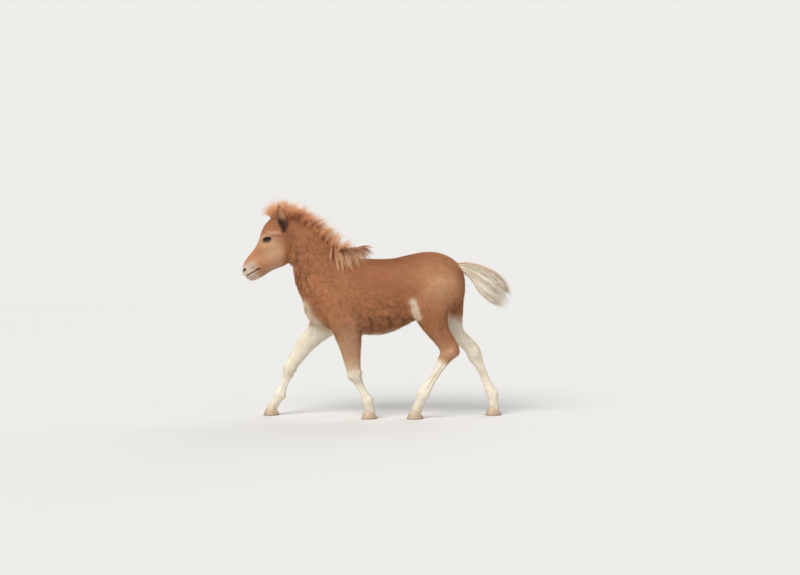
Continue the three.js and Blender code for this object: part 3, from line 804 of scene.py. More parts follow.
def white_of(points, row):
    """How white the coat is, from the leg that each point belongs to."""
    ragged = points + (6 * medium(points) + 9 * broad(points))[:, None] * (1, 0, 1)
    x, _, z = ragged.T
    near_fore = smoothstep(262, 184, z) * (row == FORELEG_LEFT)
    far_fore = smoothstep(404, 378, z + 0.4 * (x + 300)) * (row == FORELEG_RIGHT)
    near_hind = along_line(ragged, 222, 250, 306, 214, 14) * (row == HINDLEG_LEFT)
    far_hind = smoothstep(436, 396, z + 0.3 * (x - 270)) * (row == HINDLEG_RIGHT)
    return np.maximum.reduce([near_fore, far_fore, near_hind, far_hind])


def wool_of(points):
    """How woolly the coat is: most on the barrel, the breast and the throat, least on the back and croup."""
    return np.clip(patches(points, WOOLLY_PATCHES) + 0.16, 0, 1)


def body_colours(points, row):
    """Chestnut, with golden patches that are partly painted highlight and russet ones that are partly painted
    shade, and sandy on the quarter and the near legs.
    """
    colour = np.tile(CHESTNUT, (len(points), 1))
    # Golden patches, partly painted highlight on the top of the body.
    golden = 0.85 * patches(points, GOLDEN_AND_HIGHLIGHT_PATCHES) + 0.18 * broad(points)
    colour = mixed(colour, GOLDEN, np.clip(golden, 0, 1))
    # Russet patches, partly painted shade under the belly and the buttock.
    shade = 0.6 * patches(points, RUSSET_AND_SHADE_PATCHES) + 0.16 * broad(points) + 0.16 * medium(points)
    colour = mixed(colour, RUSSET, np.clip(shade, 0, 0.85))
    tanned = patches(points, [TAN_QUARTER])
    tanned += patches(points, [TAN_FOREARM]) * (row == FORELEG_LEFT)
    tanned += patches(points, [TAN_HOCK, TAN_GASKIN]) * (row == HINDLEG_LEFT)
    return mixed(colour, SANDY, np.clip(tanned, 0, 0.8))


def with_face(colour, points, normals, row):
    """The face is lighter below the eye, and the muzzle, chin and floor of the jaw are pale. Painted shade
    darkens its creases, lips and nostrils.
    """
    x, _, z = points.T
    out_y = np.abs(normals[:, 1])
    in_face = smoothstep(-372, -410, x + 0.25 * (700 - z)) * (row == HEAD)
    colour = mixed(colour, ORANGE, 0.75 * patches(points, [NOSE]) * in_face)
    ring = patches(points, [EYE_RING])
    light = np.clip(0.8 * patches(points, [CHEEK]) + 0.75 * ring, 0, 0.9)
    colour = mixed(colour, SANDY, light * in_face)
    colour = mixed(colour, CREAM, 0.35 * ring**2 * in_face)
    colour = mixed(colour, RUSSET, 0.6 * near_line(x, z, FOREHEAD, 28) * in_face)
    # A pale stripe on the brow's fold, partly pale hair and partly painted highlight.
    colour = mixed(colour, CREAM, 0.3 * near_line(x, z, BROW, 7) * in_face * smoothstep(0.2, 0.5, out_y))
    # Painted shade in the crease above the eye.
    colour = mixed(colour, RUSSET * 0.8, 0.75 * near_line(x, z, LID_CREASE, 3.4) * in_face * (out_y > 0.3))
    muzzle = smoothstep(650, 612, z - 0.35 * (x + 560)) * smoothstep(-500, -540, x + 0.12 * (z - 600))
    jaw = smoothstep(26, 6, distance_to_line(x, z, JAW))
    pale = np.clip(muzzle + 0.8 * jaw, 0, 1) * in_face
    bare = mixed(CREAM * 0.92, PALE_SKIN * 0.88, np.clip(0.5 + 0.5 * medium(points), 0, 1))
    colour = mixed(colour, bare, 0.92 * pale)
    # Painted shadow under the jaw.
    colour = mixed(colour, RUSSET, 0.3 * near_line(x, z, UNDER_JAW, 9) * in_face)
    smudge = np.clip(0.5 * patches(points, SMUDGES) + 0.1 * fine(points), 0, 0.6)
    colour = mixed(colour, DARK_SKIN_AND_SHADE, smudge * pale)
    # Painted shade in the gap of the lips, the mouth's corner and the nostrils.
    lips = np.exp(-((mouth_gap(points) / (2.0 + smoothstep(-530, -570, x))) ** 2)) * mouth_reach(points)
    nostrils = sum(nostril_mask(points, side) for side in (LEFT, RIGHT))
    dark = np.clip(0.72 * lips + 0.7 * patches(points, [MOUTH_CORNER]) + 1.6 * nostrils, 0, 0.95)
    return mixed(colour, DARK_SKIN_AND_SHADE, dark * (row == HEAD))


def with_markings(colour, points, normals, row):
    """The flank, the breast and the underside are pale, and the legs are white with a sandy edge."""
    x, _, z = points.T
    flank = 1.9 * near_line(x + 9 * medium(points), z + 9 * broad(points), FLANK, 14) * (row != HEAD)
    breast = 1.53 * near_line(x, z, BREAST, 19) * (row != HEAD)
    under = smoothstep(0.8, 0.97, -normals[:, 2]) * np.isin(row, (TORSO, NECK)) * smoothstep(430, 380, z)
    colour = mixed(colour, CREAM, np.clip(flank + breast + 0.75 * under, 0, 0.96))
    white = white_of(points, row)
    stained = 0.35 * np.exp(-(((z - 176) / 26) ** 2)) + 0.5 * smoothstep(70, 34, z)
    stained += 0.22 * np.clip(medium(points), 0, 1)
    colour = mixed(colour, mixed(WHITE, CREAM, np.clip(stained, 0, 1)), white)
    return mixed(colour, SANDY, 0.6 * 4 * white * (1 - white))


def paint(points, normals, row):
    """The colour of skin and coat at each place."""
    colour = with_face(body_colours(points, row), points, normals, row)
    colour = with_markings(colour, points, normals, row)
    # The head is painted dark under each ear's cup: painted shade.
    for side in (LEFT, RIGHT):
        colour = mixed(colour, EAR_DARK, 0.9 * ear_base(points, side))
    return colour * (1 + 0.09 * fine(points))[:, None]


def paleness(colours):
    """0 for chestnut and 1 for cream and white."""
    return smoothstep(0.22, 0.5, colours.mean(1))


def ear_base(points, side):
    """1 where the cup of an ear opens on the head."""
    gap = (points - EAR_CUP * (1, side, 1)) / (18, 20, 29)
    return smoothstep(1.3, 0.7, (gap**2).sum(1))


def hair_length(chart, found, points):
    """Length of the coat, from the face's few millimetres to the wool of the neck and barrel."""
    z = points[:, 2]
    t, row = chart.t[found], chart.row[found]
    body = 14 + 13 * wool_of(points)
    face = 17 - 10.5 * smoothstep(0.04, 0.3, t) - 3 * smoothstep(0.55, 0.85, t)
    fore = 20 - 6 * smoothstep(0.15, 0.4, t) - 4.5 * smoothstep(0.5, 0.65, t)
    hind = 16 - 2 * smoothstep(0.15, 0.45, t) - 4.5 * smoothstep(0.5, 0.65, t)
    feather = 4 * np.exp(-((z - 75) / 26) ** 2) + 3 * np.exp(-((z - 36) / 10) ** 2)
    lengths = np.where(row == HEAD, face, body)
    lengths = np.where(np.isin(row, (FORELEG_LEFT, FORELEG_RIGHT)), fore + feather, lengths)
    return np.where(np.isin(row, (HINDLEG_LEFT, HINDLEG_RIGHT)), hind + feather, lengths)


def hair_flow(chart, found, points):
    """Which way the coat lies before it is smoothed: back along the trunk, and down the other parts."""
    row = chart.row[found]
    x, _, z = points.T
    flow = chart.along[found].copy()
    ends = smoothstep(-250, -330, x) + smoothstep(270, 330, x)
    back = np.stack([1 - 0.9 * ends, 0 * x, -0.3 - 0.9 * ends - 0.35 * smoothstep(600, 400, z)], -1)
    flow[row == TORSO] = unit(back)[row == TORSO]
    flow[row == NECK] = unit(flow[row == NECK] + (0.1, 0, -0.55))
    return flow


class Skin:
    """The finished skin with its normals, lie of the coat, lengths and places on the unwrap."""

    def __init__(self, made):
        self.object = made
        mesh = made.data
        web = Web(mesh)
        rough = points_of(mesh)
        gentle, strong = web.smooth(rough, HEAD_ROUNDING), web.smooth(rough, COAT_ROUNDING)
        set_points(mesh, np.where(in_head(rough)[:, None], gentle, strong))
        for part in (in_head, in_shins, in_muzzle):
            refined(made, part)
        web = Web(mesh)
        points = points_of(mesh)
        points = np.where(in_head(points)[:, None], web.smooth(points, FINE_HEAD_ROUNDING), points)
        set_points(mesh, points)
        chart = Chart()
        found = chart.find(points)
        self.lengths = web.smooth(hair_length(chart, found, points)[:, None], LENGTH_ROUNDING)[:, 0]
        flow = unit(web.smooth(hair_flow(chart, found, points), FLOW_ROUNDING))
        row = chart.row[found]
        points = sculpted(points, normals_of(mesh), row)
        set_points(mesh, points)
        points -= normals_of(mesh) * (DEPTH_SHARE * self.lengths)[:, None]
        set_points(mesh, points)
        self.points, self.normals = points, normals_of(mesh)
        self.flow = along_surface(flow, self.normals)
        self.row, self.chart = row, chart
        self.colours = paint(points, self.normals, row)
        # The skin is painted darker where the coat covers it, most under long woolly chestnut coat: painted
        # shade between the hairs.
        covered = smoothstep(7, 16, self.lengths) * (1 - 0.6 * paleness(self.colours))
        set_colours(mesh, self.colours * (0.9 - (0.12 + 0.34 * wool_of(points)) * covered)[:, None])
        mesh.polygons.foreach_set("use_smooth", [True] * len(mesh.polygons))
        self.triangles = triangles_of(mesh)
        self.solid = BVHTree.FromPolygons(points.tolist(), self.triangles.tolist())

    def beside(self, places, sides):
        """The skin's Y beside each place, looking inwards from its side."""
        found = []
        for place, side in zip(places.tolist(), sides.tolist()):
            hit = self.solid.ray_cast(place, (0, -side, 0))[0]
            found.append(hit[1] if hit else 0.0)
        return np.array(found)


def bald(points):
    """Where no coat grows: at the eyes, in the nostrils and mouth, under the ears and below the hair line."""
    mask = np.zeros(len(points), bool)
    for side in (LEFT, RIGHT):
        mask |= socket(points, side) > 0.02
        mask |= nostril_mask(points, side) > 0.3
        mask |= ear_base(points, side) > 0.02
    mask |= (mouth_gap(points) < 2.2) & (points[:, 0] < -508)
    x, y, z = points.T
    for leg in legs.values():
        behind = x - leg.coronet[0]
        mask |= (z < HAIR_LINE - HAIR_LINE_SLOPE * behind) & (np.abs(behind) < 60) & (y * leg.side > 0)
    return mask


class Roots:
    """Where the tufts of the coat grow: places on the skin with all that the skin knows there."""

    def __init__(self, skin, count, seed):
        random = np.random.default_rng(seed)
        a, b, c = (skin.points[skin.triangles[:, k]] for k in range(3))
        spacing = 1.25 + 0.07 * skin.lengths[skin.triangles].mean(1)
        weight = areas_of(skin.points, skin.triangles) / spacing**2 * ~bald((a + b + c) / 3)
        self.places, self.normals, corners, shares = scattered(
            random, skin.points, skin.normals, skin.triangles, weight, count
        )
        flow = (skin.flow[corners] * shares).sum(1)
        self.flow = along_surface(flow, self.normals)
        self.lengths = (skin.lengths[corners] * shares[..., 0]).sum(1)
        self.row = skin.row[corners[:, 0]]
        self.unwrap = skin.chart.unwrap(self.places)
        self.random = random
        self.count = count


def tuft_faces(steps):
    """The triangles of a tuft with three sides and a point, and which of them look at the skin."""
    faces, beneath = [(0, 2, 1)], [False]
    for i in range(steps - 2):
        for k in range(3):
            a, b = 3 * i + k, 3 * i + (k + 1) % 3
            faces += [(a, b, b + 3), (a, b + 3, a + 3)]
            beneath += [k == 0] * 2
    last = 3 * (steps - 2)
    for k in range(3):
        faces.append((last + k, last + (k + 1) % 3, last + 3))
        beneath.append(k == 0)
    return np.array(faces), beneath


def tuft_mesh(name, paths, widths, thickness, facing, root_colours, tip_colours, unwrap, soft):
    """Tapered tufts as one mesh. Each follows its own path, with three sides and a point.

    Their shading normals lean towards the facing by the soft share, so that many tufts read as one coat.
    Those of the side beneath lean to the tip, so that tufts that point at the viewer aren't dark.
    """
    count, steps, _ = paths.shape
    along = unit(np.gradient(paths, axis=1))
    across = unit(np.cross(along, facing[:, None]))
    over = np.cross(across, along)
    s = np.linspace(0, 1, steps)[:-1]
    wide = (widths[:, None] / 2 * (0.8 + 0.9 * s) * (1 - s) ** 0.55)[..., None]
    thick = (thickness[:, None] * (1 - 0.6 * s))[..., None]
    body, across, over = paths[:, :-1], across[:, :-1], over[:, :-1]
    rings = np.stack([body + across * wide, body - across * wide, body + over * thick], 2)
    size = 3 * (steps - 1) + 1
    points = np.concatenate([rings.reshape(count, -1, 3), paths[:, -1:]], 1).reshape(-1, 3)
    one, beneath = tuft_faces(steps)
    faces = (one[None] + np.arange(count)[:, None, None] * size).reshape(-1, 3)
    mesh = bpy.data.meshes.new(name)
    mesh.vertices.add(len(points))
    mesh.vertices.foreach_set("co", ((points + SLIDE) * MM).astype(np.float32).ravel())
    mesh.loops.add(faces.size)
    mesh.loops.foreach_set("vertex_index", faces.astype(np.int32).ravel())
    mesh.polygons.add(len(faces))
    mesh.polygons.foreach_set("loop_start", np.arange(0, faces.size, 3, dtype=np.int32))
    mesh.update(calc_edges=True)
    mesh.polygons.foreach_set("use_smooth", np.ones(len(faces), bool))
    share = np.append(np.repeat(s, 3), 1.0)[None, :, None]
    set_colours(mesh, (root_colours[:, None] * (1 - share) + tip_colours[:, None] * share).reshape(-1, 3))
    ring_u = np.append(np.tile([0.0, 1.0, 0.5], steps - 1), 0.5)
    local = (np.stack([ring_u, share[0, :, 0]], -1) - 0.5) * UNWRAP_PATCH
    spread = (unwrap[:, None] + local[None]).reshape(-1, 2)
    layer = mesh.uv_layers.new(name="OFBake")
    layer.data.foreach_set("uv", spread[faces.ravel()].astype(np.float32).ravel())
    own = normals_of(mesh)
    leaning = unit(own * (1 - soft) + np.repeat(facing, size, 0) * soft)
    corners = leaning[faces.ravel()].reshape(count, -1, 3, 3)
    towards_tip = unit(paths[:, -1] - paths[:, 0])
    corners[:, beneath] = unit(towards_tip - 0.4 * facing)[:, None, None]
    mesh.normals_split_custom_set(corners.reshape(-1, 3).astype(np.float32))
    made = bpy.data.objects.new(name, mesh)
    bpy.context.scene.collection.objects.link(made)
    return made


def raised(lie, normals, lift):
    """Directions along the skin, lifted off it by an angle."""
    return lie * np.cos(lift)[:, None] + normals * np.sin(lift)[:, None]


def coat_paths(roots):
    """Three points for each tuft, drawn together into small woolly clumps where the coat is long."""
    random, count, places = roots.random, roots.count, roots.places
    across = np.cross(roots.normals, roots.flow)
    woolly = wool_of(places) * smoothstep(7, 15, roots.lengths)
    clumps = random.choice(count, count // CLUMP_TUFTS, replace=False)
    strayed = places + either_way(random, count, 3) * 11 + 6 * medium(places)[:, None] * across
    own = clumps[nearest(tree_of(places[clumps]), strayed)]
    swirl = either_way(random, count)[own] * 1.2 * woolly + either_way(random, count) * 0.75
    lie = unit(raised(roots.flow, across, swirl))
    lift = np.radians(LIFT_DEGREES * (0.5 + 0.7 * woolly) * (0.6 + 0.8 * random.random(count)))
    lift = lift * (1 + patches(places, [BELLY_EDGE]))
    length = roots.lengths * (0.8 + 0.4 * random.random(count))
    middle = places + raised(lie, roots.normals, lift) * length[:, None] * 0.55
    tip = middle + raised(lie, roots.normals, 0.2 * lift) * length[:, None] * 0.45
    middle = middle + across * (either_way(random, count) * (0.12 + 0.3 * woolly) * length)[:, None]
    share = (0.46 * woolly)[:, None]
    middle = middle + (middle[own] - middle) * share * 0.45
    tip = tip + (tip[own] - tip) * share
    return np.stack([places - roots.normals * 1.2, middle, tip], 1), own, woolly


def grow_coat(skin):
    """The whole short coat, in pieces by place."""
    roots = Roots(skin, COAT_TUFTS, 11)
    paths, own, woolly = coat_paths(roots)
    random = roots.random
    clump_tone = either_way(random, roots.count)[own] * 0.4 * woolly
    tone = 1 + clump_tone + either_way(random, roots.count) * 0.18
    colours = paint(roots.places, roots.normals, roots.row) * tone[:, None]
    pale = paleness(colours)
    # Woolly tufts are painted darker at the root, painted shade deep in the clumps, and lighter and more
    # golden at the tip, partly paler hair and partly painted light.
    root_colours = colours * (0.94 - 0.4 * woolly * (1 - 0.7 * pale))[:, None]
    tip_colours = mixed(colours, GOLDEN * 1.15, 0.4 * woolly * (1 - pale))
    tip_colours = tip_colours * (1.03 + 0.1 * woolly)[:, None]
    widths = (0.75 + 0.032 * roots.lengths) * (0.7 + 0.6 * random.random(roots.count))
    thickness = (0.2 + 0.12 * woolly) * widths
    curled = woolly > 0.22 + 0.25 * random.random(roots.count)
    kinds = {"curled": (curled, [0, 1, 2]), "straight": (~curled, [0, 2])}
    places = {"torso": (TORSO,), "neck": (NECK,), "head": (HEAD,), "forelegs": (FORELEG_LEFT, FORELEG_RIGHT),
              "hindlegs": (HINDLEG_LEFT, HINDLEG_RIGHT)}
    pieces = []
    for name, rows in places.items():
        for kind, (which, kept) in kinds.items():
            chosen = np.flatnonzero(np.isin(roots.row, rows) & which)
            chosen = chosen[np.argsort(roots.places[chosen, 0])]
            triangles_a_tuft = 6 * len(kept) - 8
            parts = math.ceil(len(chosen) * triangles_a_tuft / TRIANGLES_A_PIECE)
            for i, part in enumerate(np.array_split(chosen, parts) if parts else []):
                pieces.append(tuft_mesh(f"coat_{name}_{kind}_{i + 1}", paths[part][:, kept], widths[part],
                                        thickness[part], roots.normals[part], root_colours[part],
                                        tip_colours[part], roots.unwrap[part], COAT_SOFTNESS))
    return pieces


# Long hair: each lock is a bundle of strands along a guide


def guides_from(roots, directions, falls, lengths, steps):
    """Paths that leave their roots in one direction and turn towards another."""
    directions, falls = unit(directions), unit(falls)
    paths = [roots]
    for i in range(steps - 1):
        share = (i + 0.5) / (steps - 1)
        heading = unit(directions * (1 - share) + falls * share)
        paths.append(paths[-1] + heading * (lengths / (steps - 1))[:, None])
    return np.stack(paths, 1)


def bundled(random, guides, strands, radius, frizz, wave, gather):
    """Strands round each guide. They part at the root, gather towards the tip and stray a little."""
    locks, steps, _ = guides.shape
    own = np.repeat(np.arange(locks), strands)
    along = unit(np.gradient(guides, axis=1))
    across = unit(np.cross(along, UP + 0.01))  # tilted, so that an upright path has a side too
    over = np.cross(across, along)
    turn = random.random(len(own)) * 2 * np.pi
    off = np.sqrt(random.random(len(own))) * radius
    s = np.linspace(0, 1, steps)
    share = s[None] * (0.72 + 0.33 * random.random((len(own), 1)))
    place = share * (steps - 1)
    i = np.minimum(place.astype(int), steps - 2)
    f = (place - i)[..., None]
    rows = own[:, None]
    paths = guides[rows, i] * (1 - f) + guides[rows, i + 1] * f
    bow = np.sin(s * 2 * np.pi * 1.6 + (random.random(locks) * 6.3)[own][:, None]) * wave * s
    spread = off[:, None] * (1 - gather * s)
    side = (np.cos(turn)[:, None] * spread + bow)[..., None]
    rise = (np.sin(turn)[:, None] * spread)[..., None]
    stray = either_way(random, len(own), 1, 3) * frizz * (s**1.5)[None, :, None]
    return paths + across[rows, i] * side + over[rows, i] * rise + stray, own


def hair_piece(name, skin, random, paths, own, outwards, width, root_colour, tip_colour):
    """A piece of long hair, each lock facing outwards, with its own tone for each lock and strand."""
    count = len(paths)
    tone = 1 + either_way(random, own.max() + 1)[own] * 0.3 + either_way(random, count) * 0.24
    widths = width * (0.75 + 0.5 * random.random(count))
    facing = unit(outwards)[own] + either_way(random, count, 3) * 0.8
    unwrap = skin.chart.unwrap(paths[:, 0])
    tone = tone[:, None]
    return tuft_mesh(name, paths, widths, 0.45 * widths, unit(facing), root_colour * tone, tip_colour * tone,
                     unwrap, LONG_HAIR_SOFTNESS)


def mane(skin):
    """Short, fine and fuzzy. It stands up along the crest, leans back and parts to both sides."""
    random = np.random.default_rng(21)
    locks = 240
    t = np.linspace(0.04, 0.74, locks) + either_way(random, locks) * 0.03
    part = random.random(locks) * 2 - 1
    roots = neck.point(t, 0.45 * part, -14)
    spread = random.random((locks, 3))
    direction = np.stack([0.7 * spread[:, 0] - 0.1, 0.5 * part + 0.5 * (spread[:, 1] - 0.5), 1 + 0 * t], -1)
    back = (0.3 + 1.1 * spread[:, 2]) * np.minimum(1, 4 * t)
    fall = np.stack([back, 1.3 * part + 0.8 * (spread[:, 0] - 0.5), 0.9 * random.random(locks) - 0.4], -1)
    guides = guides_from(roots, direction, fall, 50 + 42 * random.random(locks), 6)
    paths, own = bundled(random, guides, 17, 7, 24, wave=2.5, gather=0.45)
    f = smoothstep(0.2, 0.9, (own / locks))[:, None]
    tips = mixed(GOLDEN, SANDY, 0.3) * (1 - f) + mixed(GOLDEN, SANDY, 0.6) * f
    outwards = np.stack([0 * t - 0.2, 0.5 * part, 1 + 0 * t], -1)
    return hair_piece("mane", skin, random, paths, own, outwards, 0.9, GOLDEN * 1.15, tips * 1.4)


def forelock(skin):
    """It rises between the ears. The foremost locks fall forwards and the last ones back."""
    random = np.random.default_rng(22)
    locks = 110
    f = np.linspace(0, 1, locks)
    part = random.random(locks) * 2 - 1
    roots = head.point(0.05 + 0.17 * f, 0.42 * part, -14)
    sway = either_way(random, locks)
    direction = np.stack([0.6 * random.random(locks) - 0.35, 0.3 * part + 0.5 * sway, 1 + 0 * f], -1)
    fall = np.stack([0.8 - 2.1 * f, 0.4 * part + 1.2 * sway, 0.9 - 1.8 * f * random.random(locks)], -1)
    guides = guides_from(roots, direction, fall, 50 + 38 * random.random(locks), 6)
    paths, own = bundled(random, guides, 17, 7, 26, wave=3.0, gather=0.5)
    outwards = np.stack([0.2 - 0.8 * f, 0.4 * part, 1 + 0 * f], -1)
    tips = mixed(GOLDEN, SANDY, 0.35) * 1.25
    return hair_piece("forelock", skin, random, paths, own, outwards, 0.9, mixed(CHESTNUT, GOLDEN, 0.6), tips)


def withers_tuft(skin):
    """It fans out from the foot of the crest, down the left side and back, in locks with pale tips."""
    random = np.random.default_rng(23)
    locks = 74
    f = np.linspace(0, 1, locks)
    side = np.where(np.arange(locks) % 4 == 3, RIGHT, LEFT)
    root_x = -212 + 84 * f + 22 * either_way(random, locks)
    crest = 704 - 30 * f
    heading = np.radians(-84 + 88 * f + 34 * either_way(random, locks))
    length = (112 - 40 * f) * (0.66 + 0.5 * random.random(locks))
    own_lift = 9 * random.random(locks)
    guides = [np.stack([root_x, side * 10, crest - 16], -1)]
    for s in (0.22, 0.45, 0.65, 0.84, 1.0):
        bow = math.sin(math.pi * s)
        x = root_x + (np.cos(heading) * length + 8) * s
        z = crest + np.sin(heading) * length * s + 16 * bow
        surface = skin.beside(np.stack([x, side * OUTSIDE, z], -1), side)
        guides.append(np.stack([x, surface + side * (8 + 8 * bow + own_lift), z], -1))
    paths, own = bundled(random, np.stack(guides, 1), 30, 7, 9, wave=3.0, gather=0.85)
    tips = mixed(GOLDEN, srgb(236, 200, 164), 0.3 + 0.6 * random.random(locks)[own])
    outwards = np.stack([0 * f + 0.1, side * 0.45, 1 + 0 * f], -1)
    return hair_piece("withers_tuft", skin, random, paths, own, outwards, 0.95, CHESTNUT * 0.8, tips)


dock = Loft([
    station(288, 632, 304, 590, 0, 15),
    station(322, 632, 322, 600, 0, 15),
    station(352, 627, 342, 594, 0, 14),
    station(384, 612, 368, 580, 0, 12),
    station(408, 588, 392, 564, 0, 9),
    station(420, 568, 408, 554, 0, 3),
])
plume = Loft([
    station(292, 634, 306, 584, 0, 18),
    station(324, 639, 320, 584, 0, 24),
    station(354, 639, 332, 574, 0, 29),
    station(392, 628, 354, 560, 0, 30),
    station(432, 615, 372, 524, 0, 35),
    station(466, 594, 392, 496, 0, 37),
    station(492, 562, 426, 476, 0, 34),
    station(510, 528, 458, 462, 0, 28),
    station(518, 494, 486, 458, 0, 18),
])


def tail_hair(skin):
    """The locks leave the dock along the plume's own lines. The top ones are tinged with chestnut."""
    random = np.random.default_rng(24)
    locks = 120
    golden = math.pi * (3 - math.sqrt(5))
    f = np.linspace(0, 1, locks)
    place = 0.04 + 0.93 * f
    angle = np.arange(locks) * golden
    layer = 1 - 0.45 * f * random.random(locks)
    end = 0.66 + 0.34 * np.sqrt(random.random(locks))
    guides = [dock.point(place, angle, -7 + 4 * random.random(locks))]
    halfway = 0.46
    for s in (0.15, 0.3, halfway, 0.64, 0.82, 1.0):
        t = place * 0.45 + (end - place * 0.45) * s
        line = plume.at(t)
        middle = np.stack([(line[:, 0] + line[:, 2]) / 2, 0 * t, (line[:, 1] + line[:, 3]) / 2], -1)
        rim = plume.point(t, angle + 0.3 * either_way(random, locks))
        share = (0.62 + (layer - 0.62) * s)[:, None]
        guides.append(middle * (1 - share) + rim * share)
        if s == halfway:
            outwards = rim - middle + (22, 0, 42)
    guides[-2] = guides[-2] + either_way(random, locks, 3) * (16, 10, 16)
    guides[-1] = guides[-1] + either_way(random, locks, 3) * (34, 20, 34)
    paths, own = bundled(random, np.stack(guides, 1), 38, 7, 16, wave=9, gather=0.66)
    top = smoothstep(0.4, 0.95, np.cos(angle))[own] * 0.5
    root = mixed(srgb(246, 232, 208), GOLDEN, top)
    # The tips are painted a little lighter than the roots: painted light that lifts the shade at the tail's
    # lower end.
    tip = mixed(srgb(254, 244, 226), SANDY, 0.6 * top)
    return hair_piece("tail_hair", skin, random, paths, own, outwards, 1.15, root, tip)


def tail_dock():
    """The root of the tail, which the locks leave."""
    points, faces = dock.mesh(sides=32, per_span=5, grow=-2)
    made = object_from("dock", points, faces)
    set_colours(made.data, np.tile(CREAM * 0.8, (len(points), 1)))
    return made


# Ears, eyes and hooves

EAR_TURN = 24  # degrees that the cup is turned forwards
# Up the ear: X, Z and Y of the middle, half width, half depth and the degrees that it reaches round each way.
EAR_ROWS = [
    (-411, 750, 29, 13, 12, 172),
    (-414, 764, 34, 18, 15, 168),
    (-416, 780, 38, 22, 16, 150),
    (-417, 796, 42, 23, 15, 132),
    (-419, 812, 46, 21, 13, 120),
    (-422, 828, 49, 17, 10, 112),
    (-424, 842, 52, 12, 7, 106),
    (-427, 854, 54, 7, 4.5, 100),
    (-430, 865, 56, 1.6, 1.6, 95),
]


def ear(name, side):
    """A leaf-shaped shell, open outwards and a little forwards, dark along its rim and with painted shade
    deep in its cup.
    """
    rows = np.array(EAR_ROWS, float)
    levels = np.linspace(0, len(rows) - 1, 40)
    x, z, y, half, deep, reach = (np.interp(levels, range(len(rows)), rows[:, k]) for k in range(6))
    count = 28
    sweep = np.linspace(-1, 1, count)
    thick = 2.4 * (1 - 0.55 * np.abs(sweep) ** 3)
    outer, inner, inside = [], [], []
    turn = math.radians(EAR_TURN) * -side
    for k in range(len(levels)):
        phi = sweep * math.radians(reach[k])
        flare = 1 + 0.1 * np.abs(sweep) ** 4
        pinch = min(1, half[k] / 8)
        for ring, shrink in ((outer, 0 * thick), (inner, np.minimum(thick * pinch, half[k] * 0.7))):
            across = (half[k] - shrink) * np.sin(phi) * flare
            outwards = -(np.minimum(deep[k], half[k]) - shrink) * np.cos(phi)
            px = across * math.cos(turn) - side * outwards * math.sin(turn)
            py = across * math.sin(turn) + side * outwards * math.cos(turn)
            ring.append(np.stack([x[k] + px, side * y[k] + py, z[k] + 0 * px], -1))
        inside += [0] * count + [1] * count
    points = np.concatenate([np.concatenate([a, b[::-1]]) for a, b in zip(outer, inner)])
    ring = 2 * count
    faces = band_faces(len(levels), ring)
    last = (len(levels) - 1) * ring
    for k in range(count - 1):
        faces.append((k, ring - 1 - k, ring - 2 - k, k + 1))
        faces.append((last + k, last + k + 1, last + ring - 2 - k, last + ring - 1 - k))
    made = object_from(name, points, faces)
    turn_outwards(made)
    inside = np.array(inside, bool)
    up = smoothstep(765, 850, points[:, 2])
    around = np.tile(np.concatenate([np.abs(sweep), np.abs(sweep[::-1])]), len(levels))
    outside_colour = mixed(CHESTNUT, RUSSET, 0.3 + 0.3 * up)
    # Deep in the cup the inside is painted dark: painted shade.
    inside_colour = mixed(EAR_DARK, mixed(GOLDEN, SANDY, 0.5), smoothstep(0.25, 0.8, up))
    colour = np.where(inside[:, None], inside_colour, outside_colour)
    edge = smoothstep(0.8, 0.97, around) + 0.5 * smoothstep(848, 862, points[:, 2])
    colour = mixed(colour, EAR_DARK, np.clip(edge, 0, 0.85))
    set_colours(made.data, colour)
    return made, points, inside, colour, around


def ear_fur(name, skin, built, side):
    """Short hair over the shell, and longer pale hair that rises from the cup and its front rim."""
    made, points, inside, colour, around = built
    random = np.random.default_rng(31 + side)
    normals = normals_of(made.data)
    triangles = triangles_of(made.data)
    within = inside[triangles].mean(1)
    clear = (points[triangles[:, 0], 2] > 768) & (around[triangles].mean(1) < 0.985)
    weight = areas_of(points, triangles) * clear * np.where(within > 0.5, 0.55, 1)
    count = 3400
    places, grown, corners, shares = scattered(random, points, normals, triangles, weight, count)
    hollow = inside[corners].mean(1) > 0.5
    lie = np.tile((-0.15, side * 0.12, 1.0), (count, 1)) + hollow[:, None] * (0.1, side * 0.75, 0.1)
    lie = along_surface(lie, grown, 0.9)
    near_rim = smoothstep(0.75, 0.98, around[corners].mean(1))
    length = np.where(hollow, 10.0 - 5 * near_rim, 5.5) * (0.7 + 0.6 * random.random(count))
    lift = np.where(hollow, 0.35, 0.2) * (0.6 + 0.8 * random.random(count))
    middle = places + (lie + grown * lift[:, None]) * length[:, None] * 0.5
    tip = middle + (lie + grown * lift[:, None] * 0.3) * length[:, None] * 0.5
    paths = np.stack([places - grown * 0.7, middle, tip], 1)
    # Each hair takes the shell's colour, with its painted shade deep in the cup.
    base = (colour[corners] * shares).sum(1)
    tone = (0.8 + 0.4 * random.random(count))[:, None]
    pale = np.where(hollow, 0.55 * smoothstep(770, 830, places[:, 2]), 0.12)
    tips = mixed(base, SANDY, pale)
    widths = np.where(hollow, 0.6, 0.9) * (0.8 + 0.4 * random.random(count))
    unwrap = skin.chart.unwrap(places)
    return tuft_mesh(name, paths, widths, widths * 0.35, grown, base * tone, tips * tone, unwrap,
                     COAT_SOFTNESS)


GAZE = np.array([-0.32, 1.0, -0.06])  # of the right eye
EYE_BULGE = 0.9  # how far the clear front stands out
PUPIL = srgb(5, 4, 4)
IRIS_LIGHT, IRIS_DARK, IRIS_EDGE = srgb(50, 29, 18), srgb(24, 14, 10), srgb(20, 13, 10)
EYE_WHITE = srgb(58, 40, 32)


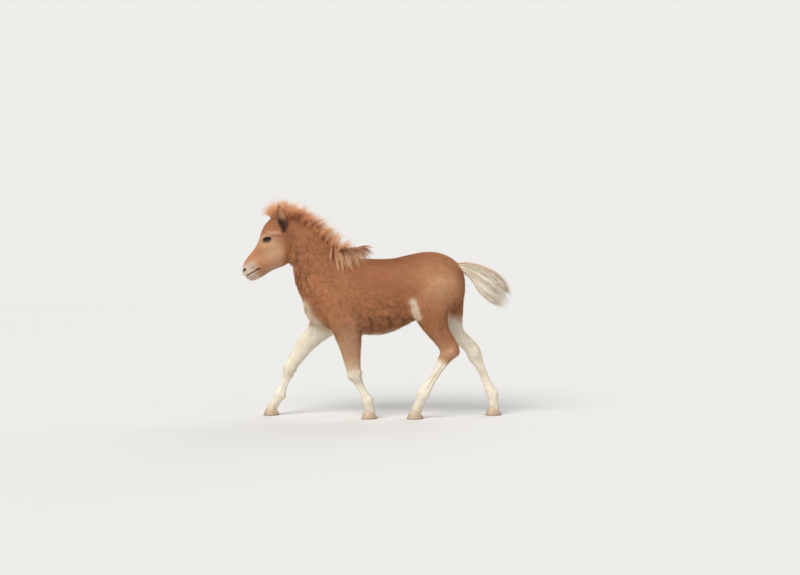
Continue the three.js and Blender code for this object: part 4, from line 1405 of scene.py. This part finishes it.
def eyeball(name, side):
    """A ball with a dark brown iris, a level oval pupil and a clear bulge over them."""
    axis = unit(GAZE * (1, side, 1))
    level = unit(np.cross(UP, axis))
    rise = np.cross(axis, level)
    rings, sides = 40, 64
    polar = np.linspace(0, np.pi, rings + 2)[1:-1, None]
    around = np.arange(sides) / sides * 2 * np.pi
    radius = EYE_RADIUS - EYE_BULGE + EYE_BULGE * np.exp(-((polar / 0.62) ** 4)) + 0 * around
    u, v, w = np.sin(polar) * np.cos(around), np.sin(polar) * np.sin(around), np.cos(polar) + 0 * around
    local = np.stack([u, v, w], -1) * radius[..., None]
    local = np.vstack([local.reshape(-1, 3), [0, 0, EYE_RADIUS], [0, 0, EYE_BULGE - EYE_RADIUS]])
    points = EYE * (1, side, 1) + local @ np.stack([level, rise, axis])
    faces = closed_faces(rings, sides, flipped=True)
    made = object_from(name, points, faces)
    ball = unit(local)
    off = np.arccos(np.clip(ball[:, 2], -1, 1))
    pupil = np.hypot(ball[:, 0] / 0.46, ball[:, 1] / 0.24)
    rays = 0.5 + 0.5 * np.sin(23 * np.arctan2(ball[:, 1], ball[:, 0]))
    colour = mixed(PUPIL, mixed(IRIS_LIGHT, IRIS_DARK, rays), smoothstep(0.85, 1.1, pupil))
    colour = mixed(colour, IRIS_EDGE, smoothstep(0.62, 0.72, off))
    colour = mixed(colour, EYE_WHITE, smoothstep(0.86, 1.15, off))
    set_colours(made.data, colour)
    return made


LID_POINTS = 64  # round the eye
# The lids' section: the share of the opening's size, the height over the ball, how far it follows the skin.
LID_RINGS = [
    (0.97, -1.6, 0), (1.0, 0.2, 0), (1.04, 1.6, 0), (1.12, 2.6, 0), (1.24, 3.4, 0), (1.36, 3.3, 0.1),
    (1.48, 1.4, 0.5), (1.62, 1.5, 0.85), (1.85, 0.2, 1), (2.1, -2.2, 1), (1.9, -7, 1), (1.2, -6, 0),
]


def lids(name, skin, side):
    """A ring from the wet margin of the eye's opening to the coat, with a fold over the upper lid."""
    count = LID_POINTS
    a = np.arange(count) / count * 2 * np.pi
    along = LID_LENGTH * np.cos(a)
    up = np.where(np.sin(a) > 0, UPPER_LID, LOWER_LID) * np.sin(a) * (1 - 0.12 * np.cos(a)) + along * 0.16
    rings = []
    for grow, height, follow in LID_RINGS:
        dx, dz = along * grow, up * grow * (1 + 0.15 * (grow - 1))
        far = np.hypot(dx, dz)
        limit = EYE_RADIUS - 1.0
        on_ball = np.sqrt(EYE_RADIUS**2 - np.minimum(far, limit) ** 2) - 0.55 * np.maximum(far - limit, 0)
        ball_y = EYE[1] + on_ball + height
        x, z = EYE[0] + dx, EYE[2] + dz
        outside = np.stack([x, np.full(count, side * OUTSIDE), z], -1)
        skin_y = np.abs(skin.beside(outside, np.full(count, side)))
        y = ball_y * (1 - follow) + (skin_y + height) * follow
        rings.append(np.stack([x, side * y, z], -1))
    points = np.concatenate(rings)
    faces = band_faces(len(rings) + 1, count)
    made = object_from(name, points, [tuple(k % len(points) for k in face) for face in faces])
    turn_outwards(made)
    grow = np.repeat([ring[0] for ring in LID_RINGS], count)
    colour = mixed(DARK_SKIN_AND_SHADE * 0.55, mixed(RUSSET, SANDY, 0.6), smoothstep(1.06, 1.4, grow))
    # The fold over the upper lid is painted darker: painted shade in its crease.
    fold = np.exp(-(((grow - 1.48) / 0.07) ** 2)) * np.tile(np.sin(a) > 0, len(rings))
    colour = mixed(colour, RUSSET * 0.7, 0.7 * fold)
    set_colours(made.data, colour)
    return made, rings


def lid_hair(name, skin, rings, side):
    """Lashes along the upper lid, and short hair over both lids."""
    random = np.random.default_rng(41 + side)
    edge, brow_ring, outer = rings[3], rings[5], rings[8]
    upper = [k for k in range(LID_POINTS) if 0.25 < k / LID_POINTS * 2 * np.pi < 2.75]
    picks = np.repeat(upper, 3)
    roots = edge[picks] + either_way(random, len(picks), 3) * 0.8
    outwards = (-0.15, side * 0.8, -0.6) + either_way(random, len(picks), 3) * 0.35
    bend = outwards * (0.8, 1, 0.3) + (0, 0, 0.1)
    lash_paths = guides_from(roots, outwards, bend, 4.5 + 2 * random.random(len(picks)), 3)
    short_hairs = 3000
    share = random.random((short_hairs, 1))
    k = random.integers(0, LID_POINTS, short_hairs)
    on_lid = np.where(share < 0.5, edge[k] + (brow_ring[k] - edge[k]) * 2 * share,
                      brow_ring[k] + (outer[k] - brow_ring[k]) * (2 * share - 1))
    radial = unit((on_lid - EYE * (1, side, 1)) * (1, 0, 1))
    lie = unit(0.6 * radial + (0.5, 0, -0.45) + 0.4 * either_way(random, short_hairs, 3))
    normal = unit((0, side, 0) + radial * 0.3)
    length = (2.2 + 1.8 * random.random(short_hairs))[:, None]
    short = np.stack([on_lid - normal * 0.5, on_lid + (lie + normal * 0.14) * length * 0.5,
                      on_lid + (lie + normal * 0.08) * length], 1)
    paths = np.concatenate([lash_paths, short])
    dark = np.concatenate([np.ones(len(picks)), 0.75 * (1 - smoothstep(0.1, 0.5, share[:, 0]))])
    colours = mixed(mixed(CHESTNUT, SANDY, 0.7), DARK_SKIN_AND_SHADE * 0.5, dark)
    widths = np.concatenate([np.full(len(picks), 0.4), np.full(short_hairs, 0.55)])
    unwrap = skin.chart.unwrap(paths[:, 0])
    facing = unit(paths[:, 0] - EYE * (1, side, 1)) + (0, side * 0.2, 0.2)
    return tuft_mesh(name, paths, widths, widths * 0.4, unit(facing), colours, colours * 1.05, unwrap,
                     COAT_SOFTNESS)


HOOF_TOE, HOOF_HEEL = 11, 2.5  # how far the wall slopes out past the pastern
HORN, HORN_BAND, HORN_TOP = srgb(190, 166, 140), srgb(178, 152, 126), srgb(206, 184, 160)
# The second of these is the darker colour that the wall takes towards the sole.
HORN_STAIN, HORN_NEAR_SOLE = srgb(140, 112, 88), srgb(116, 92, 70)


def hoof(name, leg):
    """A wall with faint rings of growth that slopes out from the coronet, lower behind, to a flat sole."""
    x, y = leg.coronet[:2]
    front, back, half = leg.foot[1:]

    def ring(front_z, back_z, ahead, behind, wide):
        return station(x - front - ahead, front_z, x + back + behind, back_z, y, half + wide, 0.06)

    wall = Loft([
        ring(33, 22, -9, -9, -8),
        ring(31, 18.5, -4, -4, -3.2),
        ring(26, 15, -1, -1.6, -1.2),
        ring(15, 9, HOOF_TOE * 0.46, HOOF_HEEL * 0.45, 1.6),
        ring(3.5, 3.5, HOOF_TOE * 0.93, HOOF_HEEL, 4.2),
        ring(1.2, 1.2, HOOF_TOE, HOOF_HEEL, 4.5),
        ring(0, 0, HOOF_TOE - 1.2, HOOF_HEEL - 1, 3.5),
    ])
    sides, per_span = 72, 12
    points, faces = wall.mesh(sides, per_span)
    rings = (len(wall.stations) - 1) * per_span
    down = np.append(np.repeat(np.arange(rings + 1) / rings, sides), [0, 1])
    middle = points * (0, 0, 1) + (x, y, 0)
    shown = smoothstep(0.22, 0.4, down) * smoothstep(0.85, 0.75, down)
    ripple = 0.1 * np.sin(down * 66 + 0.8 * broad(points)) * shown
    points = points + unit(points - middle) * ripple[:, None]
    made = object_from(name, points, faces)
    band = mixed(HORN, HORN_BAND, 0.5 + 0.5 * np.sin(down * 41 + 2 * medium(points)))
    colour = mixed(HORN_TOP, band, smoothstep(0.2, 0.45, down))
    # The wall is darker towards the sole.
    colour = mixed(colour, HORN_NEAR_SOLE, 0.75 * smoothstep(7, 0.5, points[:, 2]))
    colour = mixed(colour, HORN_STAIN, 0.35 * np.clip(medium(points), 0, 1))
    set_colours(made.data, colour)
    return made


def whisker_tree():
    """Thin tapered whiskers on points, each along its point's own direction."""
    tree = bpy.data.node_groups.new("whiskers", "GeometryNodeTree")
    tree.is_modifier = True
    tree.interface.new_socket("Geometry", in_out="INPUT", socket_type="NodeSocketGeometry")
    for label, value in (("Length", 0.016), ("Root Radius", 0.00022)):
        socket = tree.interface.new_socket(label, in_out="INPUT", socket_type="NodeSocketFloat")
        socket.default_value = value
    seed = tree.interface.new_socket("Seed", in_out="INPUT", socket_type="NodeSocketInt")
    seed.default_value = 5
    material = tree.interface.new_socket("Material", in_out="INPUT", socket_type="NodeSocketMaterial")
    tree.interface.new_socket("Geometry", in_out="OUTPUT", socket_type="NodeSocketGeometry")
    nodes, links = tree.nodes, tree.links
    given, result = nodes.new("NodeGroupInput"), nodes.new("NodeGroupOutput")
    cone = nodes.new("GeometryNodeMeshCone")
    cone.inputs["Vertices"].default_value = 4
    cone.inputs["Side Segments"].default_value = 2
    cone.inputs["Radius Top"].default_value = 0.00003
    links.new(given.outputs["Root Radius"], cone.inputs["Radius Bottom"])
    links.new(given.outputs["Length"], cone.inputs["Depth"])
    direction = nodes.new("GeometryNodeInputNamedAttribute")
    direction.data_type = "FLOAT_VECTOR"
    direction.inputs["Name"].default_value = "direction"
    align = nodes.new("FunctionNodeAlignRotationToVector")
    align.axis = "Z"
    links.new(direction.outputs["Attribute"], align.inputs["Vector"])
    size = nodes.new("FunctionNodeRandomValue")
    size.data_type = "FLOAT"
    size.inputs["Min"].default_value = 0.4
    size.inputs["Max"].default_value = 1.0
    links.new(given.outputs["Seed"], size.inputs["Seed"])
    place = nodes.new("GeometryNodeInstanceOnPoints")
    links.new(given.outputs["Geometry"], place.inputs["Points"])
    links.new(cone.outputs["Mesh"], place.inputs["Instance"])
    links.new(align.outputs["Rotation"], place.inputs["Rotation"])
    links.new(size.outputs["Value"], place.inputs["Scale"])
    realize = nodes.new("GeometryNodeRealizeInstances")
    links.new(place.outputs["Instances"], realize.inputs["Geometry"])
    finish = nodes.new("GeometryNodeSetMaterial")
    links.new(realize.outputs["Geometry"], finish.inputs["Geometry"])
    links.new(given.outputs["Material"], finish.inputs["Material"])
    links.new(finish.outputs["Geometry"], result.inputs["Geometry"])
    return tree, material.identifier


def whiskers(skin, material):
    """Feelers on the lips and the chin."""
    random = np.random.default_rng(51)
    x, _, z = skin.points.T
    lips = (skin.row == HEAD) & (x < -528) & (z < 612) & (mouth_gap(skin.points) > 5)
    count = 60
    chosen = random.choice(np.flatnonzero(lips), count, replace=False)
    outwards = unit(skin.normals[chosen] + (-0.1, 0, -0.55) + 0.7 * either_way(random, count, 3))
    base = object_from("whisker_roots", skin.points[chosen] + outwards * 6, [])
    layer = base.data.attributes.new("direction", "FLOAT_VECTOR", "POINT")
    layer.data.foreach_set("vector", outwards.astype(np.float32).ravel())
    tree, material_socket = whisker_tree()
    modifier = base.modifiers.new("whiskers", "NODES")
    modifier.node_group = tree
    modifier[material_socket] = material
    return baked(base, "whiskers")


# Materials


def bare_material(name, roughness, **inputs):
    """A material whose shader has the given even values, and that shader."""
    material = bpy.data.materials.new(name)
    material.use_nodes = True
    shader = material.node_tree.nodes["Principled BSDF"]
    shader.inputs["Roughness"].default_value = roughness
    for key, value in inputs.items():
        shader.inputs[key.replace("_", " ")].default_value = value
    return material, shader


def mottling_group():
    """Shared by all that is tinted: fine streaks of light and dark, and the bump that goes with them."""
    group = bpy.data.node_groups.new("hair streaks", "ShaderNodeTree")
    for name, kind, value in (("Colour", "NodeSocketColor", None), ("Size", "NodeSocketFloat", 900.0),
                              ("Contrast", "NodeSocketFloat", 0.3), ("Relief", "NodeSocketFloat", 0.2)):
        socket = group.interface.new_socket(name, in_out="INPUT", socket_type=kind)
        if value is not None:
            socket.default_value = value
    group.interface.new_socket("Colour", in_out="OUTPUT", socket_type="NodeSocketColor")
    group.interface.new_socket("Normal", in_out="OUTPUT", socket_type="NodeSocketVector")
    nodes, links = group.nodes, group.links
    given, result = nodes.new("NodeGroupInput"), nodes.new("NodeGroupOutput")
    place = nodes.new("ShaderNodeTexCoord")
    noise = nodes.new("ShaderNodeTexNoise")
    noise.inputs["Detail"].default_value = 3
    links.new(place.outputs["Object"], noise.inputs["Vector"])
    links.new(given.outputs["Size"], noise.inputs["Scale"])
    centred = nodes.new("ShaderNodeMath")
    centred.operation = "SUBTRACT"
    centred.inputs[1].default_value = 0.5
    links.new(noise.outputs["Fac"], centred.inputs[0])
    scaled = nodes.new("ShaderNodeMath")
    scaled.operation = "MULTIPLY_ADD"
    scaled.inputs[2].default_value = 1.0
    links.new(centred.outputs[0], scaled.inputs[0])
    links.new(given.outputs["Contrast"], scaled.inputs[1])
    tinted = nodes.new("ShaderNodeVectorMath")
    tinted.operation = "SCALE"
    links.new(given.outputs["Colour"], tinted.inputs[0])
    links.new(scaled.outputs[0], tinted.inputs["Scale"])
    links.new(tinted.outputs[0], result.inputs["Colour"])
    bump = nodes.new("ShaderNodeBump")
    bump.inputs["Distance"].default_value = 0.001
    links.new(given.outputs["Relief"], bump.inputs["Strength"])
    links.new(noise.outputs["Fac"], bump.inputs["Height"])
    links.new(bump.outputs["Normal"], result.inputs["Normal"])
    return group


def tinted_material(name, group, size, contrast, relief, roughness, **inputs):
    """A material that takes its colour from the piece's own tint, streaked by the shared group."""
    material, shader = bare_material(name, roughness, **inputs)
    nodes, links = material.node_tree.nodes, material.node_tree.links
    tint = nodes.new("ShaderNodeAttribute")
    tint.attribute_name = "tint"
    streaks = nodes.new("ShaderNodeGroup")
    streaks.node_tree = group
    streaks.inputs["Size"].default_value = size
    streaks.inputs["Contrast"].default_value = contrast
    streaks.inputs["Relief"].default_value = relief
    links.new(tint.outputs["Color"], streaks.inputs["Colour"])
    links.new(streaks.outputs["Colour"], shader.inputs["Base Color"])
    links.new(streaks.outputs["Normal"], shader.inputs["Normal"])
    return material


def dress(piece, material, slot, *nodes):
    """The last steps for a piece: its material, body and the nodes that it stands for. The slot is not used.
    """
    piece.data.materials.clear()
    piece.data.materials.append(material)
    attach(piece, "root")
    if nodes:
        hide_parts(*nodes)


# The picture

PHOTO_WIDTH = 800  # pixels
FOCAL_PIXELS = 1220
SENSOR = 36
CAMERA_DISTANCE = 5000
CAMERA_HEIGHT = 644
PICTURE_MIDDLE = 61.5  # X of the picture's middle
PITCH_DEGREES = 1.29
FLOOR_SIZE = 30  # metres
FLOOR_COLOUR = srgb(222, 221, 218)
SKY_COLOUR = (0.95, 0.975, 1, 1)
WORLD_STRENGTH = 0.42
FAR_FLOOR = 0.972  # how bright the far floor looks at a low angle
# Soft lights that are the same everywhere: where each comes from, its width in degrees, strength and colour.
SUNS = [
    ("key", (-1.4, -2.3, 2.6), 40, 2.75, (1, 0.975, 0.94)),
    ("rim", (1.6, 2.4, 2.2), 50, 0.9, (0.96, 0.98, 1)),
]


def set_up_picture():
    """The camera of the photograph, a floor, the lights and a pale sky."""
    camera = bpy.data.objects.new("camera", bpy.data.cameras.new("camera"))
    bpy.context.scene.collection.objects.link(camera)
    camera.data.sensor_width = SENSOR
    camera.data.lens = FOCAL_PIXELS / PHOTO_WIDTH * SENSOR
    camera.location = (np.array([PICTURE_MIDDLE, -CAMERA_DISTANCE, CAMERA_HEIGHT]) + SLIDE * (1, 1, 0)) * MM
    camera.rotation_euler = (math.radians(90 - PITCH_DEGREES), 0, 0)
    bpy.context.scene.camera = camera
    bpy.ops.mesh.primitive_plane_add(size=FLOOR_SIZE)
    floor = bpy.context.object
    floor.name = "floor"
    material, shader = bare_material("pale floor", 0.9)
    shader.inputs["Base Color"].default_value = (*FLOOR_COLOUR, 1)
    shader.inputs["Specular IOR Level"].default_value = 0.1
    floor.data.materials.append(material)
    light_on_floor = WORLD_STRENGTH
    for name, place, softness, strength, colour in SUNS:
        lamp = bpy.data.lights.new(name, "SUN")
        lamp.angle, lamp.energy, lamp.color = math.radians(softness), strength, colour
        light = bpy.data.objects.new(name, lamp)
        light.location = place
        light.rotation_euler = Vector([-part for part in place]).to_track_quat("-Z", "Y").to_euler()
        bpy.context.scene.collection.objects.link(light)
        light_on_floor += strength / math.pi * place[2] / Vector(place).length
    world = bpy.data.worlds.new("studio")
    world.use_nodes = True
    nodes, links = world.node_tree.nodes, world.node_tree.links
    sky = nodes["Background"]
    sky.inputs["Color"].default_value = SKY_COLOUR
    sky.inputs["Strength"].default_value = WORLD_STRENGTH
    backdrop = nodes.new("ShaderNodeBackground")
    backdrop.inputs["Color"].default_value = (*FLOOR_COLOUR * light_on_floor * FAR_FLOOR, 1)
    ray = nodes.new("ShaderNodeLightPath")
    seen = nodes.new("ShaderNodeMixShader")
    links.new(ray.outputs["Is Camera Ray"], seen.inputs[0])
    links.new(sky.outputs[0], seen.inputs[1])
    links.new(backdrop.outputs[0], seen.inputs[2])
    links.new(seen.outputs[0], nodes["World Output"].inputs["Surface"])
    bpy.context.scene.world = world
    bpy.context.scene.view_settings.view_transform = "Standard"


set_up_picture()
streaks = mottling_group()
skin_material = tinted_material("skin under the coat", streaks, 700, 0.4, 0.5, 0.8)
coat_material = tinted_material("coat", streaks, 260, 0.25, 0.1, 0.62, Specular_IOR_Level=0.3)
hair_material = tinted_material("long hair", streaks, 420, 0.3, 0.1, 0.5, Specular_IOR_Level=0.35)
hoof_material = tinted_material("hoof horn", streaks, 160, 0.35, 0.3, 0.42)
eye_material = tinted_material("wet eye", streaks, 900, 0.1, 0.0, 0.08, Specular_IOR_Level=0.12,
                               Coat_Weight=0.7, Coat_Roughness=0.02)
whisker_material = bare_material("whisker", 0.5, Base_Color=(0.5, 0.42, 0.34, 1))[0]

skin = Skin(baked(joined_flesh(), "skin"))
dress(skin.object, skin_material, "coat", "torso", "neck", "head", "foreleg_left", "foreleg_right",
      "hindleg_left", "hindleg_right")
for piece in grow_coat(skin):
    dress(piece, coat_material, "coat")
for piece in (mane(skin), forelock(skin), withers_tuft(skin)):
    dress(piece, hair_material, "coat")
for piece in (tail_dock(), tail_hair(skin)):
    dress(piece, hair_material, "tail_hair", "tail")
for word, side in (("left", LEFT), ("right", RIGHT)):
    shell = ear(f"ear_shell_{word}", side)
    dress(shell[0], skin_material, "ear", f"ear_{word}")
    dress(ear_fur(f"ear_fur_{word}", skin, shell, side), coat_material, "ear")
    dress(eyeball(f"eyeball_{word}", side), eye_material, "eye", f"eye_{word}")
    lid, lid_rings = lids(f"lids_{word}", skin, side)
    dress(lid, skin_material, "coat")
    dress(lid_hair(f"lid_hair_{word}", skin, lid_rings, side), coat_material, "coat")
for name, leg in legs.items():
    node = "hoof_" + name.replace("leg", "")
    dress(hoof(node + "_wall", leg), hoof_material, "hoof", node)
dress(whiskers(skin, whisker_material), whisker_material, "coat")
